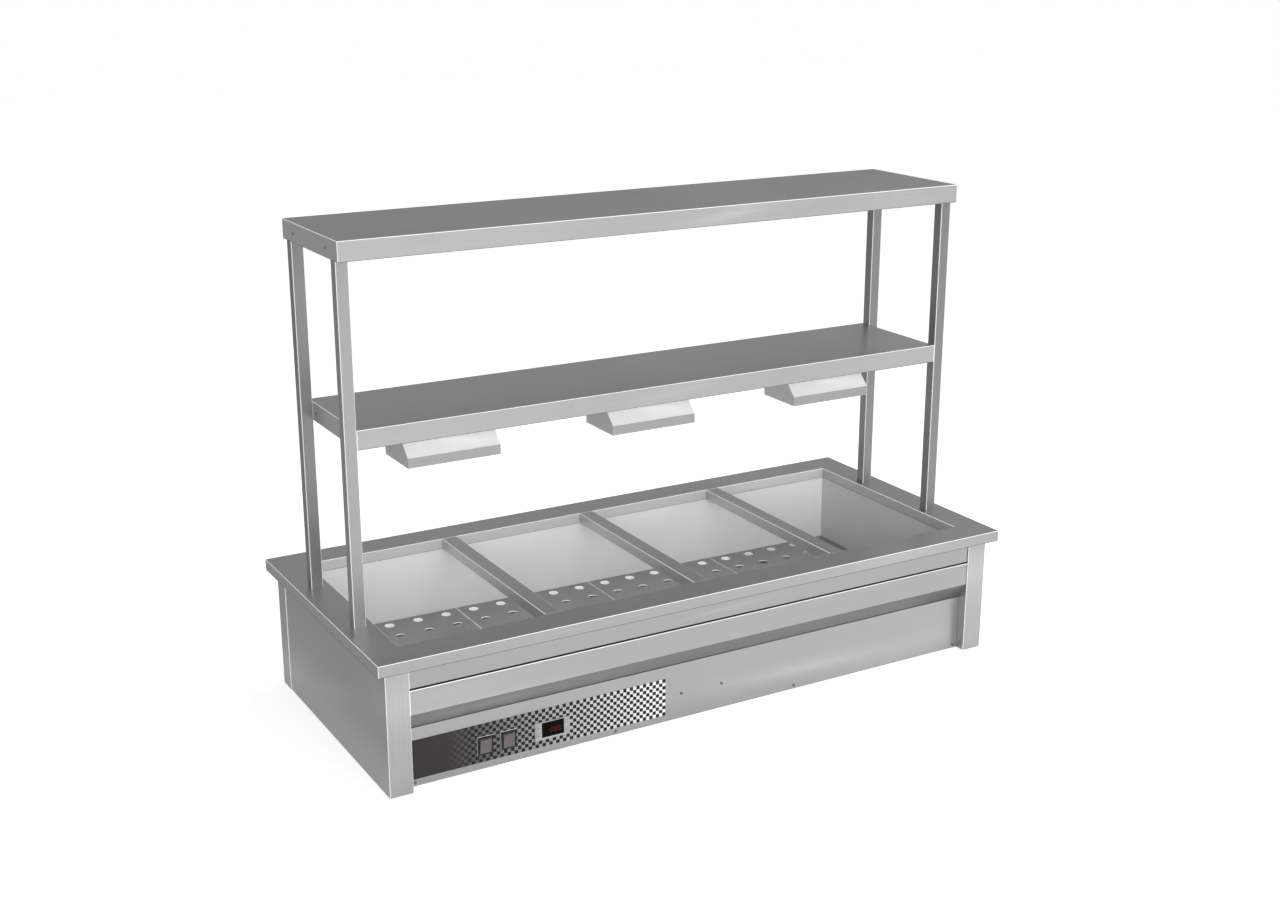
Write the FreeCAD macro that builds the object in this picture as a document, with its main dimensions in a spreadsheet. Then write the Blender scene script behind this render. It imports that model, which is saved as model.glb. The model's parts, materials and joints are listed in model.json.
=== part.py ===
import FreeCAD, Part
import math
import os
from types import SimpleNamespace

import Sketcher

Vector = FreeCAD.Vector
DOC = FreeCAD.newDocument("drop_in_bain_marie")

# Driving dimensions in millimetres, with what each one measures
DIMENSIONS = [
    ("overall_height", 1050, "base to the top of the upper shelf"),
    ("deck_top", 286, "base to the deck's top face"),
    ("deck_length", 1500, "deck, left to right"),
    ("deck_width", 655, "deck, front to back"),
    ("deck_edge", 24, "height of the deck's turned-down outer edge"),
    ("deck_lip", 12, "return lip under the outer edge"),
    ("sheet", 1.5, "sheet of the deck, tank and plates"),
    ("panel_sheet", 1.2, "sheet of the panels, bands, shelves and bars"),
    ("bend_radius", 2, "outer radius of the sheet bends"),
    ("small_bend", 1.2, "outer radius of the small bends"),
    ("seat_gap", 0.3, "clearance where one piece sits on another"),
    ("overrun", 5, "how far a cut runs past the face it leaves"),
    ("well_margin_x", 70, "deck's left or right edge to the opening"),
    ("well_margin_y", 72.5, "deck's front or back edge to the opening"),
    ("well_flange", 24, "turned-down edge round the opening"),
    ("bar_width", 34, "divider bar, across"),
    ("bar_lip", 9, "divider bar's bottom lips"),
    ("bar_end_gap", 0.5, "divider bar to the opening's edge at each end"),
    ("tab_width", 28, "rest tab under a bar's end"),
    ("tab_depth", 12, "how far a rest tab reaches into the opening"),
    ("plate_depth", 168, "deck top to the plates at the left end"),
    ("floor_fall", 11.5, "fall of the tank's floor along the opening"),
    ("plate_lift", 25, "plates' top face above the tank's floor"),
    ("plate_side_gap", 1, "half the gap between two plates"),
    ("plate_end_gap", 2.5, "plates to the opening's line, front and back"),
    ("hole_radius", 11, "perforation"),
    ("hole_margin_y", 27.5, "opening's line to the first row of holes"),
    ("tank_flange", 10, "tank's top flange under the deck"),
    ("deck_overhang_x", 18.5, "deck beyond the casing, left and right"),
    ("deck_overhang_y", 19.5, "deck beyond the casing, front and back"),
    ("pilaster", 50, "front face of a corner pilaster"),
    ("pilaster_return", 25, "depth of a pilaster's inner return"),
    ("corner_leg", 46, "leg of a rear corner angle"),
    ("band_setback", 3.5, "upper band behind the pilasters' front"),
    ("upper_band_foot", 70, "deck top to the upper band's bottom"),
    ("groove", 3.2, "groove between the two bands"),
    ("lower_band_setback", 2.5, "lower band behind the pilasters' front"),
    ("lower_band_knee", 124, "deck top to the lower band's knee"),
    ("lower_band_foot", 159.5, "deck top to the foot of the slope"),
    ("band_flange", 12, "inner flanges of the bands"),
    ("band_tail", 16, "lower band's tail behind the control panel"),
    ("panel_setback", 24, "control panel behind the pilasters' front"),
    ("panel_seam", 2.3, "open seam over the control panel"),
    ("decal_sheet", 0.8, "control decal plate"),
    ("decal_length", 577, "control decal plate, left to right"),
    ("decal_foot", 15, "base to the decal's bottom"),
    ("decal_height", 82.5, "control decal plate, height"),
    ("switch_height", 51, "base to the switches' centre"),
    ("switch_pitch", 51, "centre to centre of the two switches"),
    ("switch_inset", 162.2, "decal's left end to the first switch's middle"),
    ("bezel_width", 34, "switch bezel"),
    ("bezel_height", 39, "switch bezel"),
    ("bezel_proud", 2.4, "switch bezel in front of the decal"),
    ("switch_width", 29, "switch body behind the panel"),
    ("switch_tall", 36, "switch body behind the panel"),
    ("switch_depth", 26, "switch body behind the panel"),
    ("rocker_width", 24, "rocker, across"),
    ("rocker_tall", 30.4, "rocker, height"),
    ("rocker_proud", 3.2, "rocker's ends in front of the bezel, level"),
    ("rocker_dish", 1, "rocker's hollow between its ends"),
    ("rocker_back", 7, "rocker behind the bezel's face"),
    ("rocker_pivot", 4, "rocker's axis behind the bezel's face"),
    ("rocker_throw", 2.14, "how far a pressed end of the rocker goes in"),
    ("rocker_well", 13, "depth of the rocker's pocket"),
    ("rocker_side_gap", 0.5, "rocker to its pocket at each side"),
    ("rocker_end_gap", 1.4, "rocker to its pocket at each end, level"),
    ("display_inset", 310.2, "decal's left end to the controller's middle"),
    ("display_width", 78, "controller bezel"),
    ("display_height", 38, "controller bezel"),
    ("display_proud", 4, "controller bezel in front of the decal"),
    ("display_body_width", 70, "controller body behind the panel"),
    ("display_body_height", 29, "controller body behind the panel"),
    ("display_depth", 58, "controller body behind the panel"),
    ("window_width", 50, "display window"),
    ("window_height", 32.4, "display window"),
    ("window_rise", 1.8, "display window above the bezel's middle"),
    ("window_shift", 0.7, "display window right of the bezel's middle"),
    ("window_recess", 2, "depth of the window's seat"),
    ("key_width", 8.4, "controller key"),
    ("key_height", 11, "controller key"),
    ("key_offset", 31.9, "keys' centre from the controller's middle"),
    ("key_rise", 8, "keys' centre above or below the middle"),
    ("key_proud", 0.8, "key in front of the bezel"),
    ("key_depth", 1.8, "key behind the bezel's face"),
    ("key_travel", 0.6, "key travel"),
    ("cutout_gap", 0.4, "cut-out round a body that passes through it"),
    ("pan_flange", 18, "upstand round the base pan"),
    ("hatch_length", 130, "hatch in the base pan under the valve"),
    ("hatch_width", 125, "hatch in the base pan under the valve"),
    ("post_size", 25, "square post"),
    ("post_wall", 1.5, "wall of the square posts"),
    ("post_inset", 28, "deck's end to the posts' outer faces"),
    ("post_reach_y", 134.5, "middle to the posts' front or back faces"),
    ("anchor_tall", 26, "plug in a post's foot"),
    ("stud_radius", 5, "stud under a post"),
    ("stud_length", 17, "stud below the deck's top face"),
    ("nut_radius", 9.8, "nut on a post's stud, across corners"),
    ("nut_tall", 8, "nut on a post's stud"),
    ("washer_radius", 10.4, "washer under the nut"),
    ("washer_sheet", 2, "washer under the nut"),
    ("shelf_apron", 39, "height of a shelf's apron"),
    ("shelf_lip", 10, "return lip under the front and back aprons"),
    ("upper_shelf_reach_y", 152, "middle to the upper shelf's front"),
    ("lower_shelf_rise", 398.5, "deck top to the lower shelf's top"),
    ("shelf_screw_y", 90, "apron screws from the middle"),
    ("shelf_screw_drop", 20.8, "shelf top to the apron screws"),
    ("channel_height", 30, "end channel inside the lower shelf"),
    ("channel_flange", 20, "end channel inside the lower shelf"),
    ("lamp_inset", 232.2, "lower shelf's end to an outer lamp's middle"),
    ("lamp_length", 203, "lamp hood, left to right"),
    ("lamp_depth", 118.6, "lamp hood, front to back"),
    ("lamp_drop", 116.5, "lower shelf's top to the hood's bottom"),
    ("lamp_fascia", 21, "upright edge of the hood"),
    ("lamp_slope", 35.3, "height of the hood's 45 degree slopes"),
    ("lamp_sheet", 1, "sheet of the hood"),
    ("hanger_spread", 70, "hangers from a lamp's middle"),
    ("hanger_width", 20, "hanger strap"),
    ("hanger_sheet", 2, "hanger strap"),
    ("hanger_foot", 22, "foot of a hanger"),
    ("reflector_sheet", 0.8, "lamp reflector"),
    ("reflector_crown", 14, "half the reflector's flat top"),
    ("reflector_reach", 46, "half the reflector's mouth"),
    ("reflector_tall", 34, "height of the reflector"),
    ("tube_length", 118, "quartz tube, end to end"),
    ("tube_radius", 5, "quartz tube"),
    ("tube_neck", 3.4, "quartz tube's pinched ends"),
    ("tube_neck_length", 11, "quartz tube's pinched ends"),
    ("tube_drop", 30, "hood's top to the tube's axis"),
    ("holder_size", 18, "ceramic lamp holder"),
    ("holder_overlap", 8, "how far the tube's end sits in its holder"),
    ("guard_wire", 1.3, "radius of the guard's wires"),
    ("guard_rise", 3, "guard above the hood's bottom edge"),
    ("guard_pitch", 32, "spacing of the guard's cross wires"),
    ("guard_rod_y", 34, "guard's long wires from the middle"),
    ("element_radius", 4.25, "sheathed heating element"),
    ("element_lift", 11, "element's axis above the floor"),
    ("element_inner_y", 60, "inner leg of an element from the middle"),
    ("element_bend", 65, "bend radius at the element's end"),
    ("element_end_gap", 190, "opening's right end to the start of an element's bend"),
    ("element_tail", 18, "element outside the tank's wall"),
    ("pin_radius", 1.8, "element's terminal pin"),
    ("pin_length", 9, "element's terminal pin"),
    ("saddle_width", 14, "saddle under an element"),
    ("saddle_length", 16, "saddle under an element"),
    ("saddle_pitch", 380, "spacing of the saddles"),
    ("gland_radius", 9.5, "element gland"),
    ("gland_thread", 6.6, "thread of an element gland"),
    ("gland_head", 4, "element gland inside the tank"),
    ("gland_nut", 6, "element gland outside the tank"),
    ("fit_gap", 0.2, "clearance round a pin or tube in its hole"),
    ("probe_radius", 3, "temperature probe"),
    ("probe_length", 62, "temperature probe inside the tank"),
    ("limit_radius", 12, "limit thermostat"),
    ("limit_tall", 12, "limit thermostat"),
    ("limit_inset", 120, "opening's left end to the limit thermostat"),
    ("blanket_side", 14, "insulation beside the tank"),
    ("blanket_foot", 71.5, "base to the insulation's underside"),
    ("blanket_top", 250, "base to the insulation's top edge"),
    ("blanket_end_gap", 22, "insulation short of the tank's ends"),
    ("block_length", 62, "terminal block"),
    ("block_width", 24, "terminal block"),
    ("block_height", 20, "terminal block"),
    ("block_shift", 69, "terminal block, right of the controller"),
    ("block_setback", 136, "terminal block, behind the control panel's face"),
    ("block_slot", 5, "wire ports of the terminal block"),
    ("rail_overhang", 12, "contactor's rail beyond its screws"),
    ("rail_height", 34, "contactor's rail"),
    ("rail_depth", 7, "contactor's rail"),
    ("contactor_width", 45, "contactor"),
    ("contactor_height", 50, "contactor"),
    ("contactor_depth", 60, "contactor"),
    ("contactor_step", 10, "step between the contactor's two halves"),
    ("contactor_drop", 11, "contactor's middle below its rail's"),
    ("loom_radius", 3, "wiring loom"),
    ("wire_radius", 2.5, "link and lamp wires"),
    ("cable_gland_inset", 80, "opening's left end to the cable gland"),
    ("cable_gland_height", 45, "base to the cable gland's axis"),
    ("cable_bore", 4.6, "bore of the cable gland"),
    ("cable_thread", 8, "thread of the cable gland"),
    ("cable_hex", 11.5, "cable gland's hexagon, across corners"),
    ("cable_hex_length", 7, "cable gland's hexagon"),
    ("cable_dome", 9, "cable gland's domed nut"),
    ("cable_tail", 14, "cable gland inside the casing"),
    ("drain_inset", 80, "opening's right end to the drain"),
    ("drain_axis", 42, "base to the drain pipe's axis"),
    ("drain_hole", 17, "hole in the tank's floor"),
    ("strainer_radius", 24, "strainer's rim"),
    ("strainer_hole", 3, "strainer's holes"),
    ("strainer_ring", 11, "ring of the strainer's holes"),
    ("pipe_radius", 13.2, "three-quarter inch pipe"),
    ("pipe_bore", 10, "bore of the pipe"),
    ("pipe_flange", 24, "flange under the tank's floor"),
    ("pipe_flange_sheet", 3, "flange under the tank's floor"),
    ("valve_start", 52, "middle to the valve's inlet end"),
    ("valve_length", 66, "valve, end to end"),
    ("valve_radius", 19, "valve's round body"),
    ("valve_hex", 19.5, "valve's end hexagons, across corners"),
    ("valve_hex_length", 15, "valve's end hexagons"),
    ("valve_neck", 8, "valve's stem housing"),
    ("valve_neck_length", 6, "valve's stem housing below the body"),
    ("stem_radius", 4, "valve's stem"),
    ("stem_length", 11, "stem below the valve's body"),
    ("ball_radius", 14, "valve's ball"),
    ("lever_length", 78, "valve lever from its axis"),
    ("lever_width", 13, "valve lever"),
    ("lever_sheet", 3, "valve lever"),
    ("spigot_radius", 12.7, "outlet spigot behind the back panel"),
    ("spigot_step", 0.6, "outlet spigot down to its neck in the back panel"),
    ("outlet_proud", 16, "outlet spigot behind the back panel"),
    ("panel_screw_inset", 12.2, "control panel's end to its outer screws"),
    ("panel_screw_inner_x", 223.3, "inner screws of the control panel"),
    ("panel_screw_height", 8, "base to the control panel's bottom screws"),
    ("bracket_screw_x", 65, "left bracket screw, left of the middle"),
    ("bracket_screw_pitch", 100, "spacing of the bracket screws"),
    ("bracket_screw_height", 56, "base to the bracket screws"),
    ("screw_radius", 2, "small screws' shank"),
    ("screw_head", 3.5, "small screws' head"),
    ("screw_head_tall", 1.5, "small screws' head"),
    ("screw_length", 9, "small screws' shank"),
    ("bolt_radius", 3, "channel bolts' shank"),
    ("bolt_head", 5.2, "channel bolts' head"),
    ("bolt_head_tall", 3.4, "channel bolts' head"),
    ("hanger_nut", 4.6, "hanger nuts, across corners"),
    ("hanger_nut_tall", 4, "hanger nuts"),
    ("hanger_stud", 2.5, "hanger studs"),
]


def text_of(amount):
    """Return the expression text of a size or a plain number."""
    return amount.text if isinstance(amount, Size) else repr(amount)


def value_of(amount):
    """Return the number behind a size or a plain number."""
    return amount.value if isinstance(amount, Size) else float(amount)


class Size:
    """A length that keeps both its sheet expression and its value."""

    def __init__(self, text, value):
        self.text = text
        self.value = float(value)

    def __add__(self, other):
        return Size(f"({self.text} + {text_of(other)})", self.value + value_of(other))

    def __sub__(self, other):
        return Size(f"({self.text} - {text_of(other)})", self.value - value_of(other))

    def __mul__(self, other):
        return Size(f"({self.text} * {text_of(other)})", self.value * value_of(other))

    def __truediv__(self, other):
        return Size(f"({self.text} / {text_of(other)})", self.value / value_of(other))

    def __radd__(self, other):
        return Size(f"({text_of(other)} + {self.text})", value_of(other) + self.value)

    def __rsub__(self, other):
        return Size(f"({text_of(other)} - {self.text})", value_of(other) - self.value)

    def __rmul__(self, other):
        return Size(f"({text_of(other)} * {self.text})", value_of(other) * self.value)

    def __neg__(self):
        return Size(f"(0 - {self.text})", -self.value)


def fill_sheet():
    """Write the dimensions into the document's sheet and return them as sizes."""
    sheet = DOC.addObject("Spreadsheet::Sheet", "Sizes")
    sizes = {}
    for row, (alias, value, meaning) in enumerate(DIMENSIONS, start=1):
        sheet.set(f"A{row}", alias)
        sheet.set(f"B{row}", str(value))
        sheet.set(f"C{row}", meaning)
        sheet.setAlias(f"B{row}", alias)
        sizes[alias] = Size(f"Sizes.{alias}", value)
    DOC.recompute()
    return SimpleNamespace(**sizes)


S = fill_sheet()
NODES = {}


def node(name, item):
    """Give a finished sub-part its name and keep it for export."""
    item.Label = name
    NODES[name] = item
    return item


def bind(item, path, amount):
    """Tie one property of a document object to a size."""
    item.setExpression(path, text_of(amount))


def place(item, x, y, z):
    """Tie the position of a document object to three sizes."""
    for axis, amount in zip("xyz", (x, y, z)):
        bind(item, f"Placement.Base.{axis}", amount)
    return item


# Plain solids, bound to the sheet
AXIS_TURN = {
    "x": FreeCAD.Rotation(Vector(0, 1, 0), 90),
    "y": FreeCAD.Rotation(Vector(1, 0, 0), -90),
    "z": FreeCAD.Rotation(),
}


def block(name, x0, x1, y0, y1, z0, z1):
    """Make a box between two corners."""
    item = DOC.addObject("Part::Box", name)
    for path, low, high in (("Length", x0, x1), ("Width", y0, y1), ("Height", z0, z1)):
        bind(item, path, high - low)
    return place(item, x0, y0, z0)


def rod(name, axis, x, y, z, radius, length):
    """Make a cylinder that runs from a point along an axis."""
    item = DOC.addObject("Part::Cylinder", name)
    bind(item, "Radius", radius)
    bind(item, "Height", length)
    item.Placement = FreeCAD.Placement(Vector(), AXIS_TURN[axis])
    return place(item, x, y, z)


def hexagon(name, axis, x, y, z, radius, length):
    """Make a hexagonal prism that runs from a point along an axis."""
    item = DOC.addObject("Part::Prism", name)
    item.Polygon = 6
    bind(item, "Circumradius", radius)
    bind(item, "Height", length)
    item.Placement = FreeCAD.Placement(Vector(), AXIS_TURN[axis])
    return place(item, x, y, z)


def joined(name, items):
    """Fuse several solids into one."""
    item = DOC.addObject("Part::MultiFuse", name)
    item.Shapes = items
    return item


def without(name, base, tools):
    """Cut one or more solids out of another."""
    item = DOC.addObject("Part::Cut", name)
    item.Base = base
    item.Tool = tools[0] if len(tools) == 1 else joined(name + "_tools", tools)
    return item


def group(name, items):
    """Keep several separate solids together in one node."""
    item = DOC.addObject("Part::Compound", name)
    item.Links = items
    return item


# Bodies built from sketches
PLANES = {"xy": ("XY_Plane", 1), "xz": ("XZ_Plane", -1), "yz": ("YZ_Plane", 1)}


def new_body(name):
    """Start a body."""
    return DOC.addObject("PartDesign::Body", name)


def sketch_at(body, plane, level, name):
    """Attach a sketch to one of the body's origin planes, moved to a level."""
    role, sense = PLANES[plane]
    sketch = body.newObject("Sketcher::SketchObject", name)
    support = next(item for item in body.Origin.OriginFeatures if item.Role == role)
    sketch.AttachmentSupport = (support, [""])
    sketch.MapMode = "FlatFace"
    bind(sketch, "AttachmentOffset.Base.z", level if sense > 0 else 0 - level)
    return sketch


def pin_point(sketch, geometry, vertex, x, y):
    """Fix a point of a sketch by two sizes."""
    for kind, axis, amount in (("DistanceX", -2, x), ("DistanceY", -1, y)):
        if isinstance(amount, Size) and abs(amount.value) > 0:
            rule = Sketcher.Constraint(kind, -1, 1, geometry, vertex, amount.value)
            index = sketch.addConstraint(rule)
            sketch.setExpression(f"Constraints[{index}]", amount.text)
        else:
            sketch.addConstraint(Sketcher.Constraint("PointOnObject", geometry, vertex, axis))


def outline(sketch, points):
    """Draw a closed outline through points given as sizes."""
    first = sketch.GeometryCount
    count = len(points)
    corners = [Vector(value_of(x), value_of(y), 0) for x, y in points]
    for index in range(count):
        line = Part.LineSegment(corners[index], corners[(index + 1) % count])
        sketch.addGeometry(line, False)
    for index in range(count):
        after = first + (index + 1) % count
        sketch.addConstraint(Sketcher.Constraint("Coincident", first + index, 2, after, 1))
    for index, (x, y) in enumerate(points):
        pin_point(sketch, first + index, 1, x, y)


def ring(sketch, x, y, radius):
    """Draw a circle given by sizes."""
    circle = Part.Circle(Vector(value_of(x), value_of(y), 0), Vector(0, 0, 1), value_of(radius))
    index = sketch.addGeometry(circle, False)
    pin_point(sketch, index, 3, x, y)
    rule = sketch.addConstraint(Sketcher.Constraint("Radius", index, value_of(radius)))
    sketch.setExpression(f"Constraints[{rule}]", text_of(radius))


def rectangle(half_x, half_y):
    """Return a centred rectangle's corners."""
    return [(-half_x, -half_y), (half_x, -half_y), (half_x, half_y), (-half_x, half_y)]


def rectangle_between(x0, x1, y0, y1):
    """Return a rectangle's corners."""
    return [(x0, y0), (x1, y0), (x1, y1), (x0, y1)]


def pad(body, plane, start, end, outlines, name="pad"):
    """Add material between two levels inside closed outlines."""
    sense = PLANES[plane][1]
    sketch = sketch_at(body, plane, start if sense > 0 else end, f"{name}_outline")
    for points in outlines:
        outline(sketch, points)
    feature = body.newObject("PartDesign::Pad", name)
    feature.Profile = sketch
    bind(feature, "Length", end - start)
    return feature


def pocket(body, plane, start, end, outlines=(), circles=(), name="pocket"):
    """Take material away between two levels, and check that some went."""
    DOC.recompute()
    before = body.Shape.Volume
    sense = PLANES[plane][1]
    sketch = sketch_at(body, plane, end if sense > 0 else start, f"{name}_outline")
    for points in outlines:
        outline(sketch, points)
    for x, y, radius in circles:
        ring(sketch, x, y, radius)
    feature = body.newObject("PartDesign::Pocket", name)
    feature.Profile = sketch
    bind(feature, "Length", end - start)
    DOC.recompute()
    if not body.Shape.Volume < before:
        raise RuntimeError(f"{body.Name}: {name} cuts nothing")
    return feature


def round_edges(body, radius, chosen, name="rounded"):
    """Round the edges whose centre and direction pass a test."""
    DOC.recompute()
    base = body.Tip
    names = []
    for index, edge in enumerate(base.Shape.Edges, start=1):
        middle = edge.CenterOfMass
        along = edge.tangentAt(edge.FirstParameter)
        if isinstance(edge.Curve, Part.Line) and chosen(middle, along):
            names.append(f"Edge{index}")
    feature = body.newObject("PartDesign::Fillet", name)
    feature.Base = (base, names)
    bind(feature, "Radius", radius)
    body.Tip = feature
    return feature


def near(value, amount):
    """Tell whether a coordinate lies on a size."""
    return abs(value - value_of(amount)) < value_of(S.seat_gap) / 10


def slope_angle(rise, run):
    """Return the angle, in degrees, of a slope given by two sizes."""
    degrees = math.degrees(math.atan(rise.value / run.value))
    return Size(f"atan({rise.text} / {run.text})", degrees)


def mirrored(points):
    """Turn an outline's points left to right."""
    return [(-x, y) for x, y in points]


# Levels and reaches that several pieces share
deck_under = S.deck_top - S.sheet
deck_foot = S.deck_top - S.deck_edge
flange_foot = S.deck_top - S.well_flange
well_x = S.deck_length / 2 - S.well_margin_x
well_y = S.deck_width / 2 - S.well_margin_y
well_length = well_x * 2
tank_in_x = well_x + S.sheet + S.seat_gap
tank_in_y = well_y + S.sheet + S.seat_gap
tank_out_x = tank_in_x + S.sheet
tank_out_y = tank_in_y + S.sheet
plate_top_left = S.deck_top - S.plate_depth
floor_left = plate_top_left - S.plate_lift
floor_right = floor_left - S.floor_fall
fall_angle = slope_angle(S.floor_fall, well_length)
body_x = S.deck_length / 2 - S.deck_overhang_x
body_y = S.deck_width / 2 - S.deck_overhang_y
side_x = body_x - S.panel_sheet
pilaster_x = body_x - S.pilaster
between_x = pilaster_x - S.seat_gap
pan_in_x = side_x - S.panel_sheet
panel_front = body_y - S.panel_setback
panel_back = panel_front - S.panel_sheet
decal_front = panel_front + S.decal_sheet
back_out = body_y - S.panel_sheet
back_in = back_out - S.panel_sheet
post_out_x = S.deck_length / 2 - S.post_inset
post_in_x = post_out_x - S.post_size
post_mid_x = post_out_x - S.post_size / 2
post_in_y = S.post_reach_y - S.post_size
post_mid_y = S.post_reach_y - S.post_size / 2
upper_shelf_in = S.overall_height - S.panel_sheet
post_top = upper_shelf_in - S.seat_gap
upper_shelf_x = post_out_x + S.panel_sheet + S.seat_gap / 2
lower_top = S.deck_top + S.lower_shelf_rise
lower_under = lower_top - S.panel_sheet
lower_shelf_x = post_in_x - S.seat_gap
lamp_pitch = lower_shelf_x - S.lamp_inset
lamp_foot = lower_top - S.lamp_drop
lamp_knee = lamp_foot + S.lamp_fascia
lamp_crown = lamp_knee + S.lamp_slope
first_switch_x = between_x - S.switch_inset
display_x = between_x - S.display_inset
panel_screw_x = between_x - S.panel_screw_inset
block_x = display_x - S.block_shift
block_y = panel_front - S.block_setback
drain_x = well_x - S.drain_inset
cable_gland_x = well_x - S.cable_gland_inset
limit_x = well_x - S.limit_inset
element_reach = well_x - S.element_end_gap
bar_pitch = (well_length + S.bar_width) / 4
LAMP_SHARES = (-1, 0, 1)
BAR_SHARES = (-1, 0, 1)
PLATE_SHARES = (-1.5, -0.5, 0.5, 1.5)
GUARD_WIRE_SHARES = (-2.5, -1.5, -0.5, 0.5, 1.5, 2.5)
SADDLE_SHARES = (-1, 0, 1)
LOOM_BEND_SHARE = 0.45
BLOCK_PORTS = 5
PLATE_COLUMNS = 5
PLATE_ROWS = 8
STRAINER_HOLES = 8


def floor_at(x):
    """Return the tank floor's level at a place along the well."""
    return floor_left - (x + well_x) * S.floor_fall / well_length


# Deck and well
def make_top_deck():
    """Folded deck with a hemmed edge, a flanged opening and rest tabs for the bars."""
    body = new_body("top_deck")
    half_x = S.deck_length / 2
    half_y = S.deck_width / 2
    pad(body, "xy", deck_foot, S.deck_top, [rectangle(half_x, half_y)], "slab")
    hollow = rectangle(half_x - S.sheet, half_y - S.sheet)
    pocket(body, "xy", deck_foot + S.sheet, deck_under, [hollow], name="hollow")
    mouth = rectangle(half_x - S.deck_lip, half_y - S.deck_lip)
    pocket(body, "xy", deck_foot, deck_foot + S.sheet, [mouth], name="mouth")
    edge = rectangle(well_x + S.sheet, well_y + S.sheet)
    pad(body, "xy", flange_foot, deck_under, [edge], "well_edge")
    opening = rectangle(well_x, well_y)
    pocket(body, "xy", flange_foot, S.deck_top, [opening], name="opening")
    tabs = []
    for place_x in BAR_SHARES:
        middle = bar_pitch * place_x
        low, high = middle - S.tab_width / 2, middle + S.tab_width / 2
        reach, wall = well_y - S.tab_depth, well_y + S.sheet
        tabs.append(rectangle_between(low, high, reach, wall))
        tabs.append(rectangle_between(low, high, -wall, -reach))
    pad(body, "xy", flange_foot - S.sheet, flange_foot, tabs, "rest_tabs")
    studs = [
        (sx * post_mid_x, sy * post_mid_y, S.stud_radius + S.fit_gap)
        for sx in (-1, 1)
        for sy in (-1, 1)
    ]
    pocket(body, "xy", deck_under, S.deck_top, circles=studs, name="stud_holes")

    def bends(middle, along):
        on_top = near(middle.z, S.deck_top) and abs(along.z) < 0.5
        upright = abs(along.z) > 0.5 and near(abs(middle.x), half_x)
        on_rim = near(abs(middle.x), half_x) or near(abs(middle.y), half_y)
        on_well = near(abs(middle.x), well_x) or near(abs(middle.y), well_y)
        return upright or (on_top and (on_rim or on_well))

    round_edges(body, S.small_bend, bends)
    node("top_deck", body)


def make_tank():
    """Welded tub with a floor that falls to the drain at the right."""
    body = new_body("tank")
    shell = [
        (-tank_out_x, deck_under),
        (-tank_out_x, floor_left - S.sheet),
        (tank_out_x, floor_right - S.sheet),
        (tank_out_x, deck_under),
    ]
    room = [
        (-tank_in_x, deck_under + S.overrun),
        (-tank_in_x, floor_left),
        (tank_in_x, floor_right),
        (tank_in_x, deck_under + S.overrun),
    ]
    pad(body, "xz", -tank_out_y, tank_out_y, [shell], "shell")
    pocket(body, "xz", -tank_in_y, tank_in_y, [room], name="room")
    rim = rectangle(tank_out_x + S.tank_flange, tank_out_y + S.tank_flange)
    pad(body, "xy", deck_under - S.sheet, deck_under, [rim, rectangle(tank_in_x, tank_in_y)], "rim")
    drain = [(drain_x, 0, S.drain_hole)]
    pocket(body, "xy", floor_right - S.overrun, floor_left + S.overrun, circles=drain, name="drain")
    level = floor_at(-tank_in_x) + S.element_lift
    holes = [(y, level, S.gland_thread + S.fit_gap) for y in element_legs()]
    holes.append((0, level, S.gland_thread + S.fit_gap))
    wall = (-tank_out_x - S.overrun, -tank_in_x + S.overrun)
    pocket(body, "yz", wall[0], wall[1], circles=holes, name="gland_holes")
    node("tank", body)


def lipped_profile(half, low, high, wall, lip):
    """Return the outline of an inverted channel with bottom lips."""
    return [
        (-half, low),
        (-half, high),
        (half, high),
        (half, low),
        (half - lip, low),
        (half - lip, low + wall),
        (half - wall, low + wall),
        (half - wall, high - wall),
        (-half + wall, high - wall),
        (-half + wall, low + wall),
        (-half + lip, low + wall),
        (-half + lip, low),
    ]


def make_divider_bars():
    """Three lift-out channel bars that lie between the pans."""
    reach = well_y - S.bar_end_gap
    half = S.bar_width / 2
    profile = lipped_profile(half, S.seat_gap, S.well_flange, S.panel_sheet, S.bar_lip)
    for index, place_x in enumerate(BAR_SHARES, start=1):
        body = new_body(f"divider_bar_{index}")
        pad(body, "xz", -reach, reach, [profile])

        def top_bends(middle, along):
            return near(middle.z, S.well_flange) and abs(along.y) > 0.5 and near(abs(middle.x), half)

        round_edges(body, S.small_bend, top_bends)
        place(body, bar_pitch * place_x, 0, flange_foot)
        node(f"divider_bar_{index}", body)


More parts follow.
